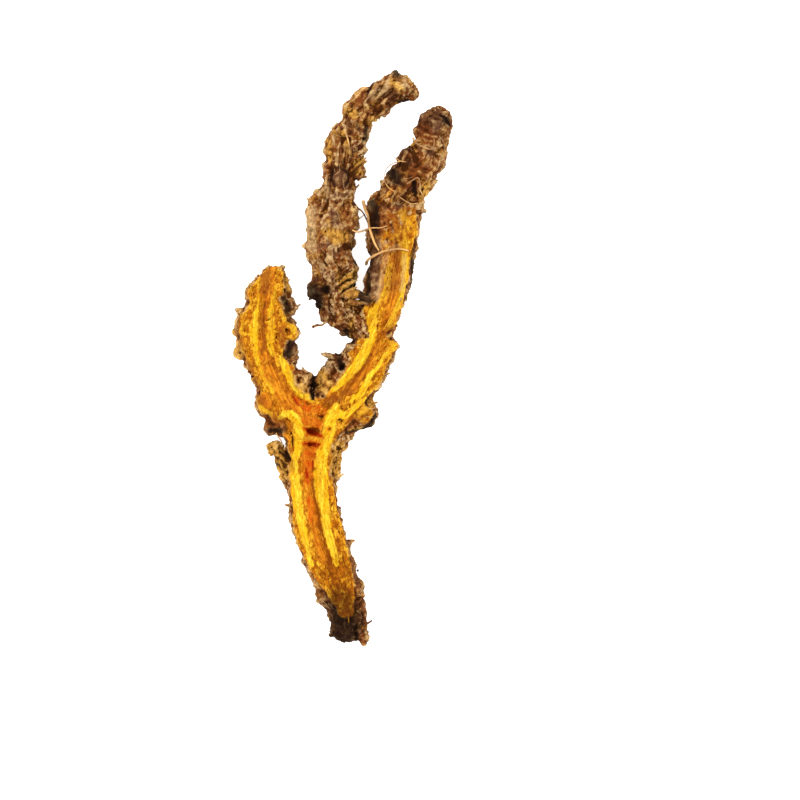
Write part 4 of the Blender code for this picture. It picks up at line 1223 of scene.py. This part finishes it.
class RHIZOME_OT_add_roots(bpy.types.Operator):
    """Add broken root stubs, the long thin roots and the hairs on the bark"""

    bl_idname = "rhizome.add_roots"
    bl_label = "Add roots"

    def execute(self, context):
        sizes = context.scene.rhizome_roots
        skin, draw = Skin(), random.Random(SEEDS["roots"])
        stubs = gather("root_stubs", self.stubs(skin, draw, sizes.stubs))
        # The stubs take the skin's painted shading a little darker.
        add_values(stubs, skin, cut=(0, 0), tone=(0.8, 0.05))
        threads("root_threads", self.routes(skin, LONG_ROOTS), 4, root_material())
        twigs = threads("bark_roots", self.routes(skin, TWIGS), 4)
        # The twigs' painted shading is held low, so they get no painted highlights.
        add_values(twigs, skin, cut=(0, 0), tone=(0.8, 0, 0.1, 0.5))
        hairs = threads("root_hairs", self.hairs(skin, draw, sizes.hairs), 2)
        # The hairs' painted shading is evened towards the middle, with little painted hole shade.
        add_values(hairs, skin, cut=(0, 0), hole=(0.3, 0), tone=(0.4, 0.5))
        return {"FINISHED"}

    def stubs(self, skin, draw, count):
        """Broken roots that stick out of the rough bark every way."""
        shapes, bark = [stub_shape(seed) for seed in (1, 5, 9)], skin.bark(above=1.2, smoothest=0.5)
        placed = []
        for _ in range(count):
            here, _, normal = skin.seat(draw, bark)
            radius, long = draw.uniform(0.11, 0.24) * MM, draw.uniform(0.25, 0.6) * MM
            out = (normal + jitter(draw, 0.5)).normalized()
            upright = out.to_track_quat("Z", "Y").to_matrix().to_4x4()
            matrix = Matrix.Translation(here - out * 0.12 * MM) @ upright
            matrix @= Matrix.Diagonal((radius, radius, long, 1))
            placed.append((shapes[draw.randrange(3)], matrix))
        return placed

    def routes(self, skin, roots):
        """Long roots over the skin, each point as high as the skin beneath it and beside it."""
        lines = []
        for points, half, lift in roots:
            flat = [on_sheet(x, y) for x, y in points]
            heights = [skin.top(x, y) for x, y in flat]
            reach = [max(heights[max(i - 1, 0):i + 2]) for i in range(len(heights))]
            lines.append(([Vector((x, y, z + half + lift)) for (x, y), z in zip(flat, reach)], half))
        return lines

    def hairs(self, skin, draw, count):
        """Hairs that wander over the upper bark, without those that would hang between branches."""
        bark = skin.bark(above=1.2, facing=0.3)
        lines = []
        for _ in range(count):
            here, run, normal = skin.seat(draw, bark)
            way = (run * draw.uniform(-1, 1) + normal.cross(run) * draw.uniform(-1, 1)).normalized()
            wander = [jitter(draw, 0.12) for _ in range(draw.randrange(3, 6))]
            points = skin.laid([here / MM + way * (0.45 * k) + step for k, step in enumerate(wander)], 0.04)
            if max((b - a).length for a, b in zip(points, points[1:])) < LONGEST_STEP:
                lines.append((points, draw.uniform(0.03, 0.055)))
        return lines


class RHIZOME_OT_add_splinters(bpy.types.Operator):
    """Lift single fibres from the cut face"""

    bl_idname = "rhizome.add_splinters"
    bl_label = "Add splinters"

    def execute(self, context):
        sizes = context.scene.rhizome_splinters
        skin, draw = Skin(), random.Random(SEEDS["splinters"])
        flesh = skin.flesh()
        lines = []
        for _ in range(sizes.count):
            here, run, normal = skin.seat(draw, flesh)
            way = Matrix.Rotation(draw.gauss(0, 0.16), 3, normal) @ run
            long = sizes.length / MM * draw.uniform(0.4, 1.4)
            points = [here / MM + way * (share * long) for share in (-0.5, -0.17, 0.17, 0.5)]
            lines.append((skin.laid(points, draw.uniform(0.0, 0.04)), draw.uniform(0.035, 0.085)))
        # The splinters' painted shading is evened towards the middle.
        add_values(threads("flesh_splinters", lines, 2), skin, cut=(0, 1), tone=(0.6, 0.4))
        return {"FINISHED"}


# The stage


class RHIZOME_OT_set_stage(bpy.types.Operator):
    """Lay the pale floor, hang the soft lights and set the camera straight above"""

    bl_idname = "rhizome.set_stage"
    bl_label = "Set stage"

    def execute(self, context):
        sizes = context.scene.rhizome_stage
        self.floor(sizes.floor)
        world = context.scene.world or bpy.data.worlds.new("studio")
        context.scene.world = world
        world.use_nodes = True
        sky = world.node_tree.nodes["Background"]
        sky.inputs["Color"].default_value = (1, 1, 1, 1)
        sky.inputs["Strength"].default_value = SKY_LIGHT * sizes.light
        for name, place, size, power in LIGHTS:
            self.light(name, place, size, power * sizes.light)
        context.scene.view_settings.view_transform = "Standard"
        self.camera(context, sizes.lens)
        return {"FINISHED"}

    def floor(self, colour):
        bm = bmesh.new()
        bmesh.ops.create_grid(bm, x_segments=1, y_segments=1, size=FLOOR_SIZE)
        floor = new_object("floor", shape_mesh(bm, "floor"))
        paint = Paint("pale_floor")
        paint.fill(paint.shader, {
            "Base Color": colour, "Roughness": 0.9, "Specular IOR Level": 0.1,
            "Emission Color": (1, 1, 1), "Emission Strength": FLOOR_GLOW,
        })
        floor.data.materials.append(paint.material)

    def light(self, name, place, size, power):
        data = bpy.data.lights.new(name, "AREA")
        data.shape = "DISK"
        data.size = size
        data.energy = power
        lamp = new_object(name, data)
        lamp.location = place
        lamp.rotation_euler = Vector(place).to_track_quat("Z", "Y").to_euler()

    def camera(self, context, lens):
        data = bpy.data.cameras.new("camera")
        data.lens = lens
        data.sensor_width = FILM_WIDTH
        camera = new_object("camera", data)
        x, y = on_sheet(SHEET_SIDE / 2, SHEET_SIDE / 2)
        camera.location = (x * MM, y * MM, (SHARP_HEIGHT + lens / FILM_WIDTH * SHEET_SIDE * STEP) * MM)
        data.clip_start, data.clip_end = 0.01, 10.0
        context.scene.camera = camera


class RHIZOME_PT_panel(bpy.types.Panel):
    """Lists the steps that dress the rhizome"""

    bl_idname = "RHIZOME_PT_panel"
    bl_label = "Rhizome"
    bl_space_type = "VIEW_3D"
    bl_region_type = "UI"
    bl_category = "Rhizome"

    def draw(self, context):
        for operator in OPERATORS:
            self.layout.operator(operator.bl_idname)
        for name in SETTINGS:
            group = getattr(context.scene, name)
            for key in group.__annotations__:
                self.layout.prop(group, key)


SETTINGS = {
    "rhizome_skin": SkinSettings,
    "rhizome_scales": ScaleSettings,
    "rhizome_roots": RootSettings,
    "rhizome_splinters": SplinterSettings,
    "rhizome_stage": StageSettings,
}
OPERATORS = (
    RHIZOME_OT_set_stage,
    RHIZOME_OT_grow_skin,
    RHIZOME_OT_add_scales,
    RHIZOME_OT_add_roots,
    RHIZOME_OT_add_splinters,
)


def register():
    for made in (*SETTINGS.values(), *OPERATORS, RHIZOME_PT_panel):
        bpy.utils.register_class(made)
    for name, made in SETTINGS.items():
        setattr(bpy.types.Scene, name, PointerProperty(type=made))


def unregister():
    for name in SETTINGS:
        delattr(bpy.types.Scene, name)
    for made in (RHIZOME_PT_panel, *reversed(OPERATORS), *reversed(SETTINGS.values())):
        bpy.utils.unregister_class(made)


def main():
    register()
    bpy.ops.rhizome.set_stage()
    bpy.ops.rhizome.grow_skin()
    bpy.ops.rhizome.add_scales()
    bpy.ops.rhizome.add_roots()
    bpy.ops.rhizome.add_splinters()


if __name__ == "__main__":
    main()
